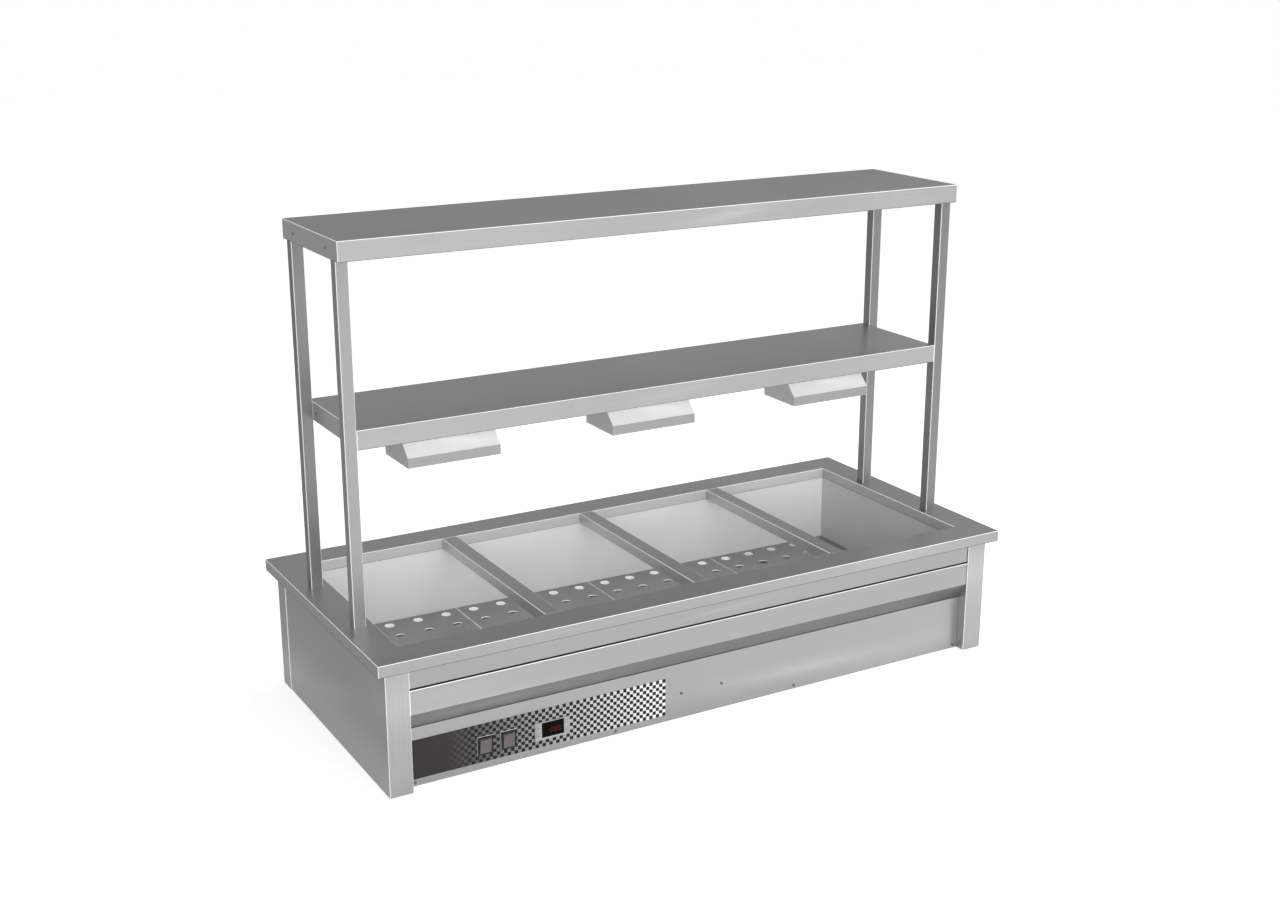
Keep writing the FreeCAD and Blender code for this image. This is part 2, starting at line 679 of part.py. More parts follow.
def make_perforated_plates():
    """Four lift-out false-bottom plates that stand over the heating elements."""
    pitch = well_length / 4
    half = pitch / 2 - S.plate_side_gap
    reach = well_y - S.plate_end_gap
    foot = S.seat_gap - S.plate_lift
    profile = [
        (-reach, foot),
        (-reach, 0),
        (reach, 0),
        (reach, foot),
        (reach - S.sheet, foot),
        (reach - S.sheet, -S.sheet),
        (-reach + S.sheet, -S.sheet),
        (-reach + S.sheet, foot),
    ]
    step_x = pitch / PLATE_COLUMNS
    step_y = (well_y - S.hole_margin_y) * 2 / (PLATE_ROWS - 1)
    first_x = step_x * (1 - PLATE_COLUMNS) / 2
    first_y = step_y * (1 - PLATE_ROWS) / 2
    for index, share in enumerate(PLATE_SHARES, start=1):
        body = new_body(f"perforated_plate_{index}")
        pad(body, "yz", -half, half, [profile])
        first = [(first_x, first_y, S.hole_radius)]
        cut = pocket(body, "xy", -S.sheet, S.sheet, circles=first, name="hole")
        pattern = body.newObject("PartDesign::LinearPattern", "holes")
        pattern.Originals = [cut]
        pattern.Direction = (cut.Profile[0], ["H_Axis"])
        pattern.Occurrences = PLATE_COLUMNS
        bind(pattern, "Length", step_x * (PLATE_COLUMNS - 1))
        pattern.Direction2 = (cut.Profile[0], ["V_Axis"])
        pattern.Occurrences2 = PLATE_ROWS
        bind(pattern, "Length2", step_y * (PLATE_ROWS - 1))
        body.Tip = pattern

        def top_bends(middle, along):
            return near(middle.z, 0) and abs(along.x) > 0.5 and near(abs(middle.y), reach)

        round_edges(body, S.small_bend, top_bends)
        middle_x = pitch * share
        body.Placement = FreeCAD.Placement(Vector(), FreeCAD.Rotation(Vector(0, 1, 0), fall_angle.value))
        bind(body, "Placement.Rotation.Angle", fall_angle)
        place(body, middle_x, 0, floor_at(middle_x) + S.plate_lift)
        node(f"perforated_plate_{index}", body)


# Casing
def make_side_panels():
    """Side sheets whose front edge is folded into the corner pilaster."""
    wall = S.panel_sheet
    back = back_out
    turn = -body_y + S.pilaster_return
    left = [
        (-side_x, back),
        (-side_x, -body_y),
        (-pilaster_x, -body_y),
        (-pilaster_x, turn),
        (-pilaster_x - wall, turn),
        (-pilaster_x - wall, -body_y + wall),
        (-side_x + wall, -body_y + wall),
        (-side_x + wall, back),
    ]
    for name, points in (("side_panel_left", left), ("side_panel_right", mirrored(left))):
        body = new_body(name)
        pad(body, "xy", 0 * S.sheet, deck_under, [points])

        def front_bends(middle, along):
            return abs(along.z) > 0.5 and near(middle.y, -body_y)

        round_edges(body, S.small_bend, front_bends)
        node(name, body)


def make_rear_corners():
    """Angles that wrap the two rear corners of the casing."""
    wall = S.panel_sheet
    leg = S.corner_leg
    left = [
        (-body_x, body_y - leg),
        (-body_x, body_y),
        (-body_x + leg, body_y),
        (-body_x + leg, body_y - wall),
        (-body_x + wall, body_y - wall),
        (-body_x + wall, body_y - leg),
    ]
    for name, points in (("rear_corner_left", left), ("rear_corner_right", mirrored(left))):
        body = new_body(name)
        pad(body, "xy", 0 * S.sheet, deck_under, [points])

        def corner_bend(middle, along):
            return abs(along.z) > 0.5 and near(middle.y, body_y) and near(abs(middle.x), body_x)

        round_edges(body, S.small_bend, corner_bend)
        node(name, body)


def make_back_panel():
    """Flat back sheet with holes for the cable gland and the drain outlet."""
    body = new_body("back_panel")
    sheet_face = rectangle_between(-pan_in_x, pan_in_x, 0, deck_under)
    pad(body, "xz", back_in, back_out, [sheet_face])
    holes = [
        (-cable_gland_x, S.cable_gland_height, S.cable_thread + S.fit_gap),
        (drain_x, S.drain_axis, S.spigot_radius + S.fit_gap),
    ]
    pocket(body, "xz", back_in - S.overrun, back_out + S.overrun, circles=holes, name="outlets")
    node("back_panel", body)


def make_front_bands():
    """Upper band, and lower band with the slope that leads back to the panel."""
    wall = S.panel_sheet
    front = -body_y + S.band_setback
    inner = front + S.band_flange
    low = S.deck_top - S.upper_band_foot
    upper = [
        (front, low),
        (front, deck_under),
        (inner, deck_under),
        (inner, deck_under - wall),
        (front + wall, deck_under - wall),
        (front + wall, low + wall),
        (inner, low + wall),
        (inner, low),
    ]
    body = new_body("upper_front_band")
    pad(body, "yz", -between_x, between_x, [upper])

    def foot_bend(middle, along):
        return abs(along.x) > 0.5 and near(middle.y, front) and near(middle.z, low)

    round_edges(body, S.small_bend, foot_bend)
    node("upper_front_band", body)

    face = -body_y + S.lower_band_setback
    top = low - S.groove
    knee = S.deck_top - S.lower_band_knee
    foot = S.deck_top - S.lower_band_foot
    tail = -panel_back + S.seat_gap
    tail_top = foot - (knee - foot) * (tail + panel_front) / (-panel_front - face)
    tail_end = tail_top - S.band_tail
    lower = [
        (face + S.band_flange, top),
        (face, top),
        (face, knee),
        (tail, tail_top),
        (tail, tail_end),
        (tail + wall, tail_end),
        (tail + wall, tail_top),
        (face + wall, knee),
        (face + wall, top - wall),
        (face + S.band_flange, top - wall),
    ]
    body = new_body("lower_front_band")
    pad(body, "yz", -between_x, between_x, [lower])

    def face_bends(middle, along):
        on_face = near(middle.y, face)
        return abs(along.x) > 0.5 and on_face and (near(middle.z, top) or near(middle.z, knee))

    round_edges(body, S.small_bend, face_bends)
    node("lower_front_band", body)


def switch_places():
    """Return the two switches' places along the panel."""
    return (-first_switch_x, -first_switch_x + S.switch_pitch)


def cutouts():
    """Return the rectangles that the switches and the controller pass through."""
    gap = S.cutout_gap
    holes = []
    for x in switch_places():
        half_x = S.switch_width / 2 + gap
        half_z = S.switch_tall / 2 + gap
        low, high = S.switch_height - half_z, S.switch_height + half_z
        holes.append(rectangle_between(x - half_x, x + half_x, low, high))
    half_x = S.display_body_width / 2 + gap
    half_z = S.display_body_height / 2 + gap
    low, high = S.switch_height - half_z, S.switch_height + half_z
    holes.append(rectangle_between(-display_x - half_x, -display_x + half_x, low, high))
    return holes


def bottom_screw_places():
    """Return the places of the screws along the control panel's bottom."""
    return [sx * x for x in (panel_screw_x, S.panel_screw_inner_x) for sx in (-1, 1)]


def bracket_screw_places():
    """Return the places of the two screws that carry the contactor's rail."""
    return [-S.bracket_screw_x, S.bracket_screw_pitch - S.bracket_screw_x]


def panel_screw_places():
    """Return the places of all the control panel's screws, as x and height."""
    places = [(x, S.panel_screw_height) for x in bottom_screw_places()]
    return places + [(x, S.bracket_screw_height) for x in bracket_screw_places()]


def make_control_panel():
    """Recessed lower panel and the decal plate on its left part."""
    body = new_body("control_panel")
    top = S.deck_top - S.lower_band_foot - S.panel_seam
    face = rectangle_between(-between_x, between_x, 0, top)
    pad(body, "xz", -panel_front, -panel_back, [face])
    hole = S.screw_radius + S.fit_gap
    screws = [(x, z, hole) for x, z in panel_screw_places()]
    start, end = -panel_front - S.overrun, -panel_back + S.overrun
    pocket(body, "xz", start, end, cutouts(), screws, "openings")
    node("control_panel", body)

    body = new_body("decal_plate")
    left = -between_x
    plate = rectangle_between(left, left + S.decal_length, S.decal_foot, S.decal_foot + S.decal_height)
    pad(body, "xz", -decal_front, -panel_front, [plate])
    pocket(body, "xz", -decal_front - S.overrun, -panel_front + S.overrun, cutouts(), name="openings")
    node("decal_plate", body)


def hatch_bounds():
    """Return the hatch under the drain valve as x and y limits."""
    right = drain_x + S.lever_width
    back = valve_axis_y() + S.lever_width
    return right - S.hatch_length, right, back - S.hatch_width, back


def make_base_pan():
    """Base sheet with an upstand, and a hatch under the drain valve's lever."""
    body = new_body("base_pan")
    front = -panel_back + S.seat_gap
    edge_x = pan_in_x - S.seat_gap
    edge_y = back_in - S.seat_gap
    pad(body, "xy", 0 * S.sheet, S.pan_flange, [rectangle_between(-edge_x, edge_x, front, edge_y)])
    wall = S.panel_sheet
    room = rectangle_between(-edge_x + wall, edge_x - wall, front + wall, edge_y - wall)
    pocket(body, "xy", wall, S.pan_flange + S.overrun, [room], name="room")
    x0, x1, y0, y1 = hatch_bounds()
    pocket(body, "xy", -S.overrun, wall + S.overrun, [rectangle_between(x0, x1, y0, y1)], name="hatch")
    hole = S.screw_radius + S.fit_gap
    screws = [(x, S.panel_screw_height, hole) for x in bottom_screw_places()]
    pocket(body, "xz", front - S.overrun, front + S.overrun, circles=screws, name="screw_holes")
    node("base_pan", body)


# Gantry
def make_posts():
    """Four square posts, the rails that tie their tops and the plugs in their feet."""
    names = {
        (-1, -1): "post_front_left",
        (1, -1): "post_front_right",
        (-1, 1): "post_rear_left",
        (1, 1): "post_rear_right",
    }
    half = S.post_size / 2
    anchors = []
    for (sx, sy), name in names.items():
        body = new_body(name)
        outer = rectangle(half, half)
        bore = rectangle(half - S.post_wall, half - S.post_wall)
        pad(body, "xy", S.deck_top, post_top, [outer, bore])
        bolt_level = lower_top - S.shelf_screw_drop
        hole = [(0, bolt_level, S.bolt_radius + S.fit_gap)]
        inner = (-half - S.overrun, -half + S.overrun) if sx > 0 else (half - S.overrun, half + S.overrun)
        pocket(body, "yz", inner[0], inner[1], circles=hole, name="bolt_hole")

        def corners(middle, along):
            return abs(along.z) > 0.5 and near(abs(middle.x), half) and near(abs(middle.y), half)

        round_edges(body, S.bend_radius, corners)
        place(body, sx * post_mid_x, sy * post_mid_y, 0)
        node(name, body)

        size = half - S.post_wall - S.fit_gap
        x, y = sx * post_mid_x, sy * post_mid_y
        plug_top = S.deck_top + S.anchor_tall
        plug = block(f"plug_{name}", x - size, x + size, y - size, y + size, S.deck_top, plug_top)
        low = S.deck_top - S.stud_length
        stud = rod(f"stud_{name}", "z", x, y, low, S.stud_radius, S.stud_length + S.sheet)
        anchors.append(joined(f"anchor_{name}", [plug, stud]))
    node("post_anchors", group("post_anchors", anchors))


def make_top_rails():
    """Square rails between the posts' tops, which the upper shelf is screwed to."""
    half = S.post_size / 2
    reach = post_in_y - S.seat_gap
    rails = []
    for side in (-1, 1):
        x = side * post_mid_x
        z = post_top - half
        label = "left" if side < 0 else "right"
        outer = block(f"rail_{label}", x - half, x + half, -reach, reach, z - half, z + half)
        inside = half - S.post_wall
        end = reach + S.overrun
        bore = block(f"rail_bore_{label}", x - inside, x + inside, -end, end, z - inside, z + inside)
        tools = [bore]
        start = post_out_x - S.overrun if side > 0 else -post_out_x - S.overrun
        for sy in (-1, 1):
            level = S.overall_height - S.shelf_screw_drop
            y = sy * S.shelf_screw_y
            radius = S.screw_radius + S.fit_gap
            tools.append(rod(f"rail_hole_{label}", "x", start, y, level, radius, S.overrun * 2))
        rails.append(without(f"tied_rail_{label}", outer, tools))
    node("post_top_rails", group("post_top_rails", rails))


def shelf_tray(name, half_x, half_y, top, screw_level, bolt_level=None):
    """Make a folded shelf with an apron, lips front and back, and its screw holes."""
    body = new_body(name)
    low = top - S.shelf_apron
    wall = S.panel_sheet
    pad(body, "xy", low, top, [rectangle(half_x, half_y)], "slab")
    hollow = rectangle(half_x - wall, half_y - wall)
    pocket(body, "xy", low + wall, top - wall, [hollow], name="hollow")
    mouth = rectangle(half_x - wall, half_y - wall - S.shelf_lip)
    pocket(body, "xy", low - S.overrun, low + wall, [mouth], name="mouth")
    radius = S.screw_radius + S.fit_gap
    holes = [(sy * S.shelf_screw_y, screw_level, radius) for sy in (-1, 1)]
    if bolt_level is not None:
        holes += [(sy * post_mid_y, bolt_level, S.bolt_radius + S.fit_gap) for sy in (-1, 1)]
    pocket(body, "yz", -half_x - S.overrun, half_x + S.overrun, circles=holes, name="end_holes")

    def bends(middle, along):
        on_top = near(middle.z, top) and abs(along.z) < 0.5
        on_rim = near(abs(middle.x), half_x) or near(abs(middle.y), half_y)
        upright = abs(along.z) > 0.5 and near(abs(middle.x), half_x) and near(abs(middle.y), half_y)
        return upright or (on_top and on_rim)

    round_edges(body, S.small_bend, bends)
    node(name, body)


def make_shelves():
    """Upper shelf that caps the posts, lower shelf between them, and its end channels."""
    shelf_tray(
        "upper_shelf",
        upper_shelf_x,
        S.upper_shelf_reach_y,
        S.overall_height,
        S.overall_height - S.shelf_screw_drop,
    )
    level = lower_top - S.shelf_screw_drop
    shelf_tray("lower_shelf", lower_shelf_x, S.post_reach_y, lower_top, level, level)
    wall = S.sheet
    low = level - S.channel_height / 2
    high = level + S.channel_height / 2
    end = S.post_reach_y - S.panel_sheet - S.seat_gap
    channels = []
    for side, label in ((-1, "left"), (1, "right")):
        web = side * (lower_shelf_x - S.panel_sheet)
        lip = web - side * S.channel_flange
        inner = web - side * wall
        profile = [
            (web, low),
            (web, high),
            (lip, high),
            (lip, high - wall),
            (inner, high - wall),
            (inner, low + wall),
            (lip, low + wall),
            (lip, low),
        ]
        body = new_body(f"end_channel_{label}")
        pad(body, "xz", -end, end, [profile])
        holes = [(sy * S.shelf_screw_y, level, S.screw_radius + S.fit_gap) for sy in (-1, 1)]
        holes += [(sy * post_mid_y, level, S.bolt_radius + S.fit_gap) for sy in (-1, 1)]
        middle = web - side * wall / 2
        pocket(body, "yz", middle - S.overrun, middle + S.overrun, circles=holes, name="holes")
        channels.append(body)
    node("shelf_end_channels", group("shelf_end_channels", channels))


# Heat lamps
def hood_profile(inset):
    """Return the hood's section, drawn in by a wall thickness; its slopes are at 45 degrees."""
    mitre_share = math.sqrt(2) - 1
    half = S.lamp_depth / 2 - inset
    crown = S.lamp_depth / 2 - S.lamp_slope - inset * mitre_share
    knee = lamp_knee - inset * mitre_share
    low = lamp_foot
    return half, crown, low, knee, lamp_crown - inset


def make_lamps():
    """Three heat lamps: hood, reflector, quartz tube, holders, guard and hangers each."""
    reflectors, tubes, holders, guards, hangers = [], [], [], [], []
    none = 0 * S.sheet
    for index, share in enumerate(LAMP_SHARES, start=1):
        middle = lamp_pitch * share
        half_x = S.lamp_length / 2
        body = new_body(f"lamp_hood_{index}")
        half, crown, low, knee, top = hood_profile(none)
        section = [(-half, low), (-half, knee), (-crown, top), (crown, top), (half, knee), (half, low)]
        pad(body, "yz", -half_x, half_x, [section])
        half, crown, low, knee, top = hood_profile(S.lamp_sheet)
        low = low - S.overrun
        room = [(-half, low), (-half, knee), (-crown, top), (crown, top), (half, knee), (half, low)]
        pocket(body, "yz", -half_x + S.lamp_sheet, half_x - S.lamp_sheet, [room], name="room")

        def bends(spot, along):
            outer = S.lamp_depth / 2
            return abs(along.x) > 0.5 and near(spot.z, lamp_knee) and near(abs(spot.y), outer)

        round_edges(body, S.lamp_sheet, bends)
        place(body, middle, 0, 0)
        node(f"lamp_hood_{index}", body)
        inside_top = lamp_crown - S.lamp_sheet - S.seat_gap
        reflectors.append(make_reflector(index, middle, inside_top))
        tubes.append(make_quartz_tube(index, middle))
        holders += make_lamp_holders(index, middle, inside_top)
        guards += make_guard(index, middle)
        hangers += make_hangers(index, middle)
    node("lamp_reflectors", group("lamp_reflectors", reflectors))
    node("quartz_tubes", group("quartz_tubes", tubes))
    node("lamp_holders", group("lamp_holders", holders))
    node("lamp_guards", group("lamp_guards", guards))
    node("lamp_hangers", group("lamp_hangers", hangers))


def make_reflector(index, middle, top):
    """Return one folded reflector under the hood's flat top."""
    wall = S.reflector_sheet
    crown, mouth = S.reflector_crown, S.reflector_reach
    low = top - S.reflector_tall
    profile = [
        (-mouth, low),
        (-crown, top),
        (crown, top),
        (mouth, low),
        (mouth - wall, low),
        (crown - wall / 2, top - wall),
        (-crown + wall / 2, top - wall),
        (-mouth + wall, low),
    ]
    body = new_body(f"reflector_{index}")
    end = S.tube_length / 2 - S.holder_overlap - S.seat_gap
    pad(body, "yz", -end, end, [profile])
    return place(body, middle, 0, 0)


def make_quartz_tube(index, middle):
    """Return one quartz tube with its pinched ends."""
    z = lamp_crown - S.tube_drop
    start = middle - S.tube_length / 2
    neck = rod(f"tube_neck_{index}", "x", start, 0, z, S.tube_neck, S.tube_length)
    bulb_length = S.tube_length - S.tube_neck_length * 2
    bulb = rod(f"tube_bulb_{index}", "x", start + S.tube_neck_length, 0, z, S.tube_radius, bulb_length)
    return joined(f"tube_{index}", [neck, bulb])


def make_lamp_holders(index, middle, top):
    """Return the two ceramic holders that carry one tube's ends."""
    half = S.holder_size / 2
    z = lamp_crown - S.tube_drop
    made = []
    for side, label in ((-1, "left"), (1, "right")):
        near_x = middle + side * (S.tube_length / 2 - S.holder_overlap)
        far_x = near_x + side * S.holder_size
        x0, x1 = (far_x, near_x) if side < 0 else (near_x, far_x)
        name = f"holder_{label}_{index}"
        brick = block(name + "_brick", x0, x1, -half, half, z - half, top)
        depth = S.holder_overlap + S.fit_gap
        mouth = near_x - depth if side < 0 else near_x - S.overrun
        socket = rod(name + "_socket", "x", mouth, 0, z, S.tube_neck + S.fit_gap, depth + S.overrun)
        made.append(without(name, brick, [socket]))
    return made


def make_guard(index, middle):
    """Return one guard's wires: two along the hood's mouth, six across on top of them."""
    half_x = S.lamp_length / 2 - S.lamp_sheet - S.fit_gap
    half_y = S.lamp_depth / 2 - S.lamp_sheet - S.fit_gap
    low = lamp_foot + S.guard_rise
    high = low + S.guard_wire * 2
    wires = []
    for side in (-1, 1):
        y = side * S.guard_rod_y
        wires.append(rod(f"guard_rod_{index}", "x", middle - half_x, y, low, S.guard_wire, half_x * 2))
    for share in GUARD_WIRE_SHARES:
        x = middle + S.guard_pitch * share
        wires.append(rod(f"guard_wire_{index}", "y", x, -half_y, high, S.guard_wire, half_y * 2))
    return wires


def make_hangers(index, middle):
    """Return the two straps that hang one hood from the lower shelf."""
    wall = S.hanger_sheet
    foot = S.hanger_foot
    high = lower_under
    low = lamp_crown
    profile = [
        (-wall / 2, low),
        (-wall / 2, high),
        (-wall / 2 + foot, high),
        (-wall / 2 + foot, high - wall),
        (wall / 2, high - wall),
        (wall / 2, low + wall),
        (-wall / 2 + foot, low + wall),
        (-wall / 2 + foot, low),
    ]
    made = []
    for side in (-1, 1):
        body = new_body(f"hanger_{index}")
        x = middle + side * S.hanger_spread
        pad(body, "yz", -S.hanger_width / 2, S.hanger_width / 2, [profile])
        hole = [(0, foot / 2, S.hanger_stud + S.fit_gap)]
        pocket(body, "xy", low - S.overrun, high + S.overrun, circles=hole, name="stud_holes")
        made.append(place(body, x, 0, 0))
    return made


# Controls
def make_switches():
    """Two switch bodies with square bezels, and the rockers that tilt in them."""
    half_bx, half_bz = S.bezel_width / 2, S.bezel_height / 2
    half_sx, half_sz = S.switch_width / 2, S.switch_tall / 2
    face = -decal_front - S.bezel_proud
    room_x = S.rocker_width / 2 + S.rocker_side_gap
    room_z = S.rocker_tall / 2 + S.rocker_end_gap
    z = S.switch_height
    bodies = []
    for x, label in zip(switch_places(), ("heater", "lamp")):
        seat = -decal_front
        bezel = block(f"{label}_bezel", x - half_bx, x + half_bx, face, seat, z - half_bz, z + half_bz)
        end = seat + S.switch_depth
        case = block(f"{label}_case", x - half_sx, x + half_sx, seat, end, z - half_sz, z + half_sz)
        whole = joined(f"{label}_solid", [bezel, case])
        y0, y1 = face - S.overrun, face + S.rocker_well
        room = block(f"{label}_room", x - room_x, x + room_x, y0, y1, z - room_z, z + room_z)
        bodies.append(without(f"{label}_switch", whole, [room]))
        make_rocker(f"{label}_rocker", x, face)
    node("switch_bodies", group("switch_bodies", bodies))


def make_rocker(name, x, face):
    """Make one dished rocker about its own axis, tilted to its off position."""
    half = S.rocker_tall / 2
    pivot = S.rocker_pivot
    front = -S.rocker_proud - pivot
    dish = front + S.rocker_dish
    back = S.rocker_back - pivot
    narrow = half - S.rocker_dish
    profile = [(front, -half), (dish, 0), (front, half), (back, narrow), (back, -narrow)]
    body = new_body(name)
    pad(body, "yz", -S.rocker_width / 2, S.rocker_width / 2, [profile])
    tilt = slope_angle(S.rocker_throw, half)
    body.Placement = FreeCAD.Placement(Vector(), FreeCAD.Rotation(Vector(1, 0, 0), tilt.value))
    bind(body, "Placement.Rotation.Angle", tilt)
    place(body, x, face + pivot, S.switch_height)
    node(name, body)


def make_controller():
    """Digital controller: case with its bezel, display window and four keys."""
    x, z = -display_x, S.switch_height
    face = -decal_front - S.display_proud
    half_x, half_z = S.display_width / 2, S.display_height / 2
    bezel = block("display_bezel", x - half_x, x + half_x, face, -decal_front, z - half_z, z + half_z)
    body_half_x, body_half_z = S.display_body_width / 2, S.display_body_height / 2
    end = -decal_front + S.display_depth
    low, high = z - body_half_z, z + body_half_z
    box = block("display_box", x - body_half_x, x + body_half_x, -decal_front, end, low, high)
    whole = joined("display_solid", [bezel, box])
    tools = []
    seat_x, seat_z = S.window_width / 2, S.window_height / 2
    out = face - S.overrun
    seat_y = face + S.window_recess
    west, east = x + S.window_shift - seat_x, x + S.window_shift + seat_x
    foot, crown = z + S.window_rise - seat_z, z + S.window_rise + seat_z
    tools.append(block("window_seat", west, east, out, seat_y, foot, crown))
    room = S.key_depth + S.key_travel + S.seat_gap
    index = 0
    for side in (-1, 1):
        for rise in (1, -1):
            index += 1
            key_x = x + side * S.key_offset
            key_z = z + rise * S.key_rise
            half_w, half_h = S.key_width / 2, S.key_height / 2
            gap = S.seat_gap
            tools.append(
                block(
                    f"key_room_{index}",
                    key_x - half_w - gap,
                    key_x + half_w + gap,
                    out,
                    face + room,
                    key_z - half_h - gap,
                    key_z + half_h + gap,
                )
            )
            y0, y1 = face - S.key_proud, face + S.key_depth
            z0, z1 = key_z - half_h, key_z + half_h
            key = block(f"key_{index}", key_x - half_w, key_x + half_w, y0, y1, z0, z1)
            node(f"controller_key_{index}", key)
    node("controller_case", without("controller_case", whole, tools))
    gap = S.fit_gap
    pane = block(
        "controller_window",
        west + gap,
        east - gap,
        face,
        seat_y - gap,
        foot + gap,
        crown - gap,
    )
    node("controller_window", pane)


# Heating and wiring
def element_legs():
    """Return the y places of the elements' legs, front element first."""
    outer = S.element_inner_y + S.element_bend * 2
    return (-outer, -S.element_inner_y, S.element_inner_y, outer)


def make_elements():
    """Two hairpin elements under the plates, with saddles and wall glands."""
    start = -tank_out_x - S.element_tail
    level = floor_at(-tank_in_x) + S.element_lift
    leg_start = start + tank_in_x
    legs = element_legs()
    fixings = []
    for name, low, high in (
        ("heating_element_front", legs[0], legs[1]),
        ("heating_element_rear", legs[2], legs[3]),
    ):
        length = element_reach + tank_in_x - leg_start
        pieces = []
        for y in (low, high):
            pieces.append(rod(name + "_leg", "x", leg_start, y, 0, S.element_radius, length))
            pin_start = leg_start - S.pin_length
            pieces.append(rod(name + "_pin", "x", pin_start, y, 0, S.pin_radius, S.pin_length * 2))
        bend = DOC.addObject("Part::Torus", name + "_bend")
        bind(bend, "Radius1", S.element_bend)
        bind(bend, "Radius2", S.element_radius)
        bend.Angle3 = 180
        bend.Placement = FreeCAD.Placement(Vector(), FreeCAD.Rotation(Vector(0, 0, 1), -90))
        place(bend, element_reach + tank_in_x, (low + high) / 2, 0)
        element = joined(name, pieces + [bend])
        element.Placement = FreeCAD.Placement(Vector(), FreeCAD.Rotation(Vector(0, 1, 0), fall_angle.value))
        bind(element, "Placement.Rotation.Angle", fall_angle)
        place(element, -tank_in_x, 0, level)
        node(name, element)
        for y in (low, high):
            fixings.append(make_gland(name, y, level, S.element_radius + S.fit_gap))
            for share in SADDLE_SHARES:
                fixings.append(make_saddle(name, S.saddle_pitch * share, y))
    node("element_fixings", group("element_fixings", fixings))


def make_gland(name, y, level, bore):
    """Return a gland that clamps a round sheath in the tank's left wall."""
    x = -tank_in_x
    head = rod(name + "_gland_head", "x", x + S.seat_gap, y, level, S.gland_radius, S.gland_head)
    neck_start = -tank_out_x - S.gland_nut - S.seat_gap
    thread_length = S.gland_head + S.gland_nut + S.sheet + S.seat_gap * 2
    thread = rod(name + "_gland_thread", "x", neck_start, y, level, S.gland_thread, thread_length)
    nut = hexagon(name + "_gland_nut", "x", neck_start, y, level, S.gland_radius, S.gland_nut)
    whole = joined(name + "_gland_solid", [head, thread, nut])
    bore_start = neck_start - S.overrun
    bore_length = thread_length + S.overrun * 2
    through = rod(name + "_gland_bore", "x", bore_start, y, level, bore, bore_length)
    return without(name + "_gland", whole, [through])


def make_saddle(name, x, y):
    """Return a small saddle that carries an element's leg above the floor."""
    low = floor_at(x) + S.seat_gap
    axis = floor_at(x) + S.element_lift
    half_l, half_w = S.saddle_length / 2, S.saddle_width / 2
    brick = block(name + "_saddle_brick", x - half_l, x + half_l, y - half_w, y + half_w, low, axis)
    groove = S.element_radius + S.seat_gap
    start = x - half_l - S.overrun
    trough = rod(name + "_trough", "x", start, y, axis, groove, S.saddle_length + S.overrun * 2)
    return without(name + "_saddle", brick, [trough])


def make_sensors():
    """Probe through the tank's wall and limit thermostat under its floor."""
    level = floor_at(-tank_in_x) + S.element_lift
    gland = make_gland("probe", 0, level, S.probe_radius + S.fit_gap)
    start = -tank_out_x - S.element_tail
    sheath = rod("probe_sheath", "x", start, 0, level, S.probe_radius, S.element_tail + S.probe_length)
    node("tank_probe", group("tank_probe", [gland, sheath]))

    x = -limit_x
    top = floor_at(x) - S.sheet - S.seat_gap
    can = rod("limit_can", "z", x, 0, top - S.limit_tall, S.limit_radius, S.limit_tall)
    brim_half = S.limit_radius
    brim = block(
        "limit_brim",
        x - brim_half * 2,
        x + brim_half * 2,
        -brim_half / 2,
        brim_half / 2,
        top - S.sheet,
        top,
    )
    node("limit_thermostat", joined("limit_thermostat", [can, brim]))


def make_blanket():
    """Insulation blanket under the tank and along its front and back."""
    body = new_body("insulation_blanket")
    end = tank_in_x - S.blanket_end_gap
    out_y = tank_out_y + S.seat_gap + S.blanket_side
    pad(body, "xy", S.blanket_foot, S.blanket_top, [rectangle(end, out_y)], "slab")
    far = end + S.overrun
    under = S.sheet + S.seat_gap
    room = [
        (-far, S.blanket_top + S.overrun),
        (-far, floor_at(-far) - under),
        (far, floor_at(far) - under),
        (far, S.blanket_top + S.overrun),
    ]
    in_y = tank_out_y + S.seat_gap
    pocket(body, "xz", -in_y, in_y, [room], name="room")
    holes = [
        (-limit_x, 0, S.limit_radius * 2 + S.overrun),
        (drain_x, 0, S.pipe_flange + S.overrun),
    ]
    pocket(body, "xy", S.blanket_foot - S.overrun, floor_left, circles=holes, name="holes")
    node("insulation_blanket", body)


def make_terminal_block():
    """Terminal block on the base pan, with a row of wire ports."""
    x0 = -block_x - S.block_length / 2
    y0 = -block_y - S.block_width / 2
    z0 = S.panel_sheet
    body = block("block_body", x0, x0 + S.block_length, y0, y0 + S.block_width, z0, z0 + S.block_height)
    pitch = S.block_length / (BLOCK_PORTS + 1)
    tools = []
    for index in range(BLOCK_PORTS):
        x = x0 + pitch * (index + 1)
        top = z0 + S.block_height
        slot = S.block_slot
        middle = y0 + S.block_width / 2
        tools.append(rod(f"block_port_{index}", "z", x, middle, top - slot, slot / 2, slot * 2))
    node("terminal_block", without("terminal_block", body, tools))


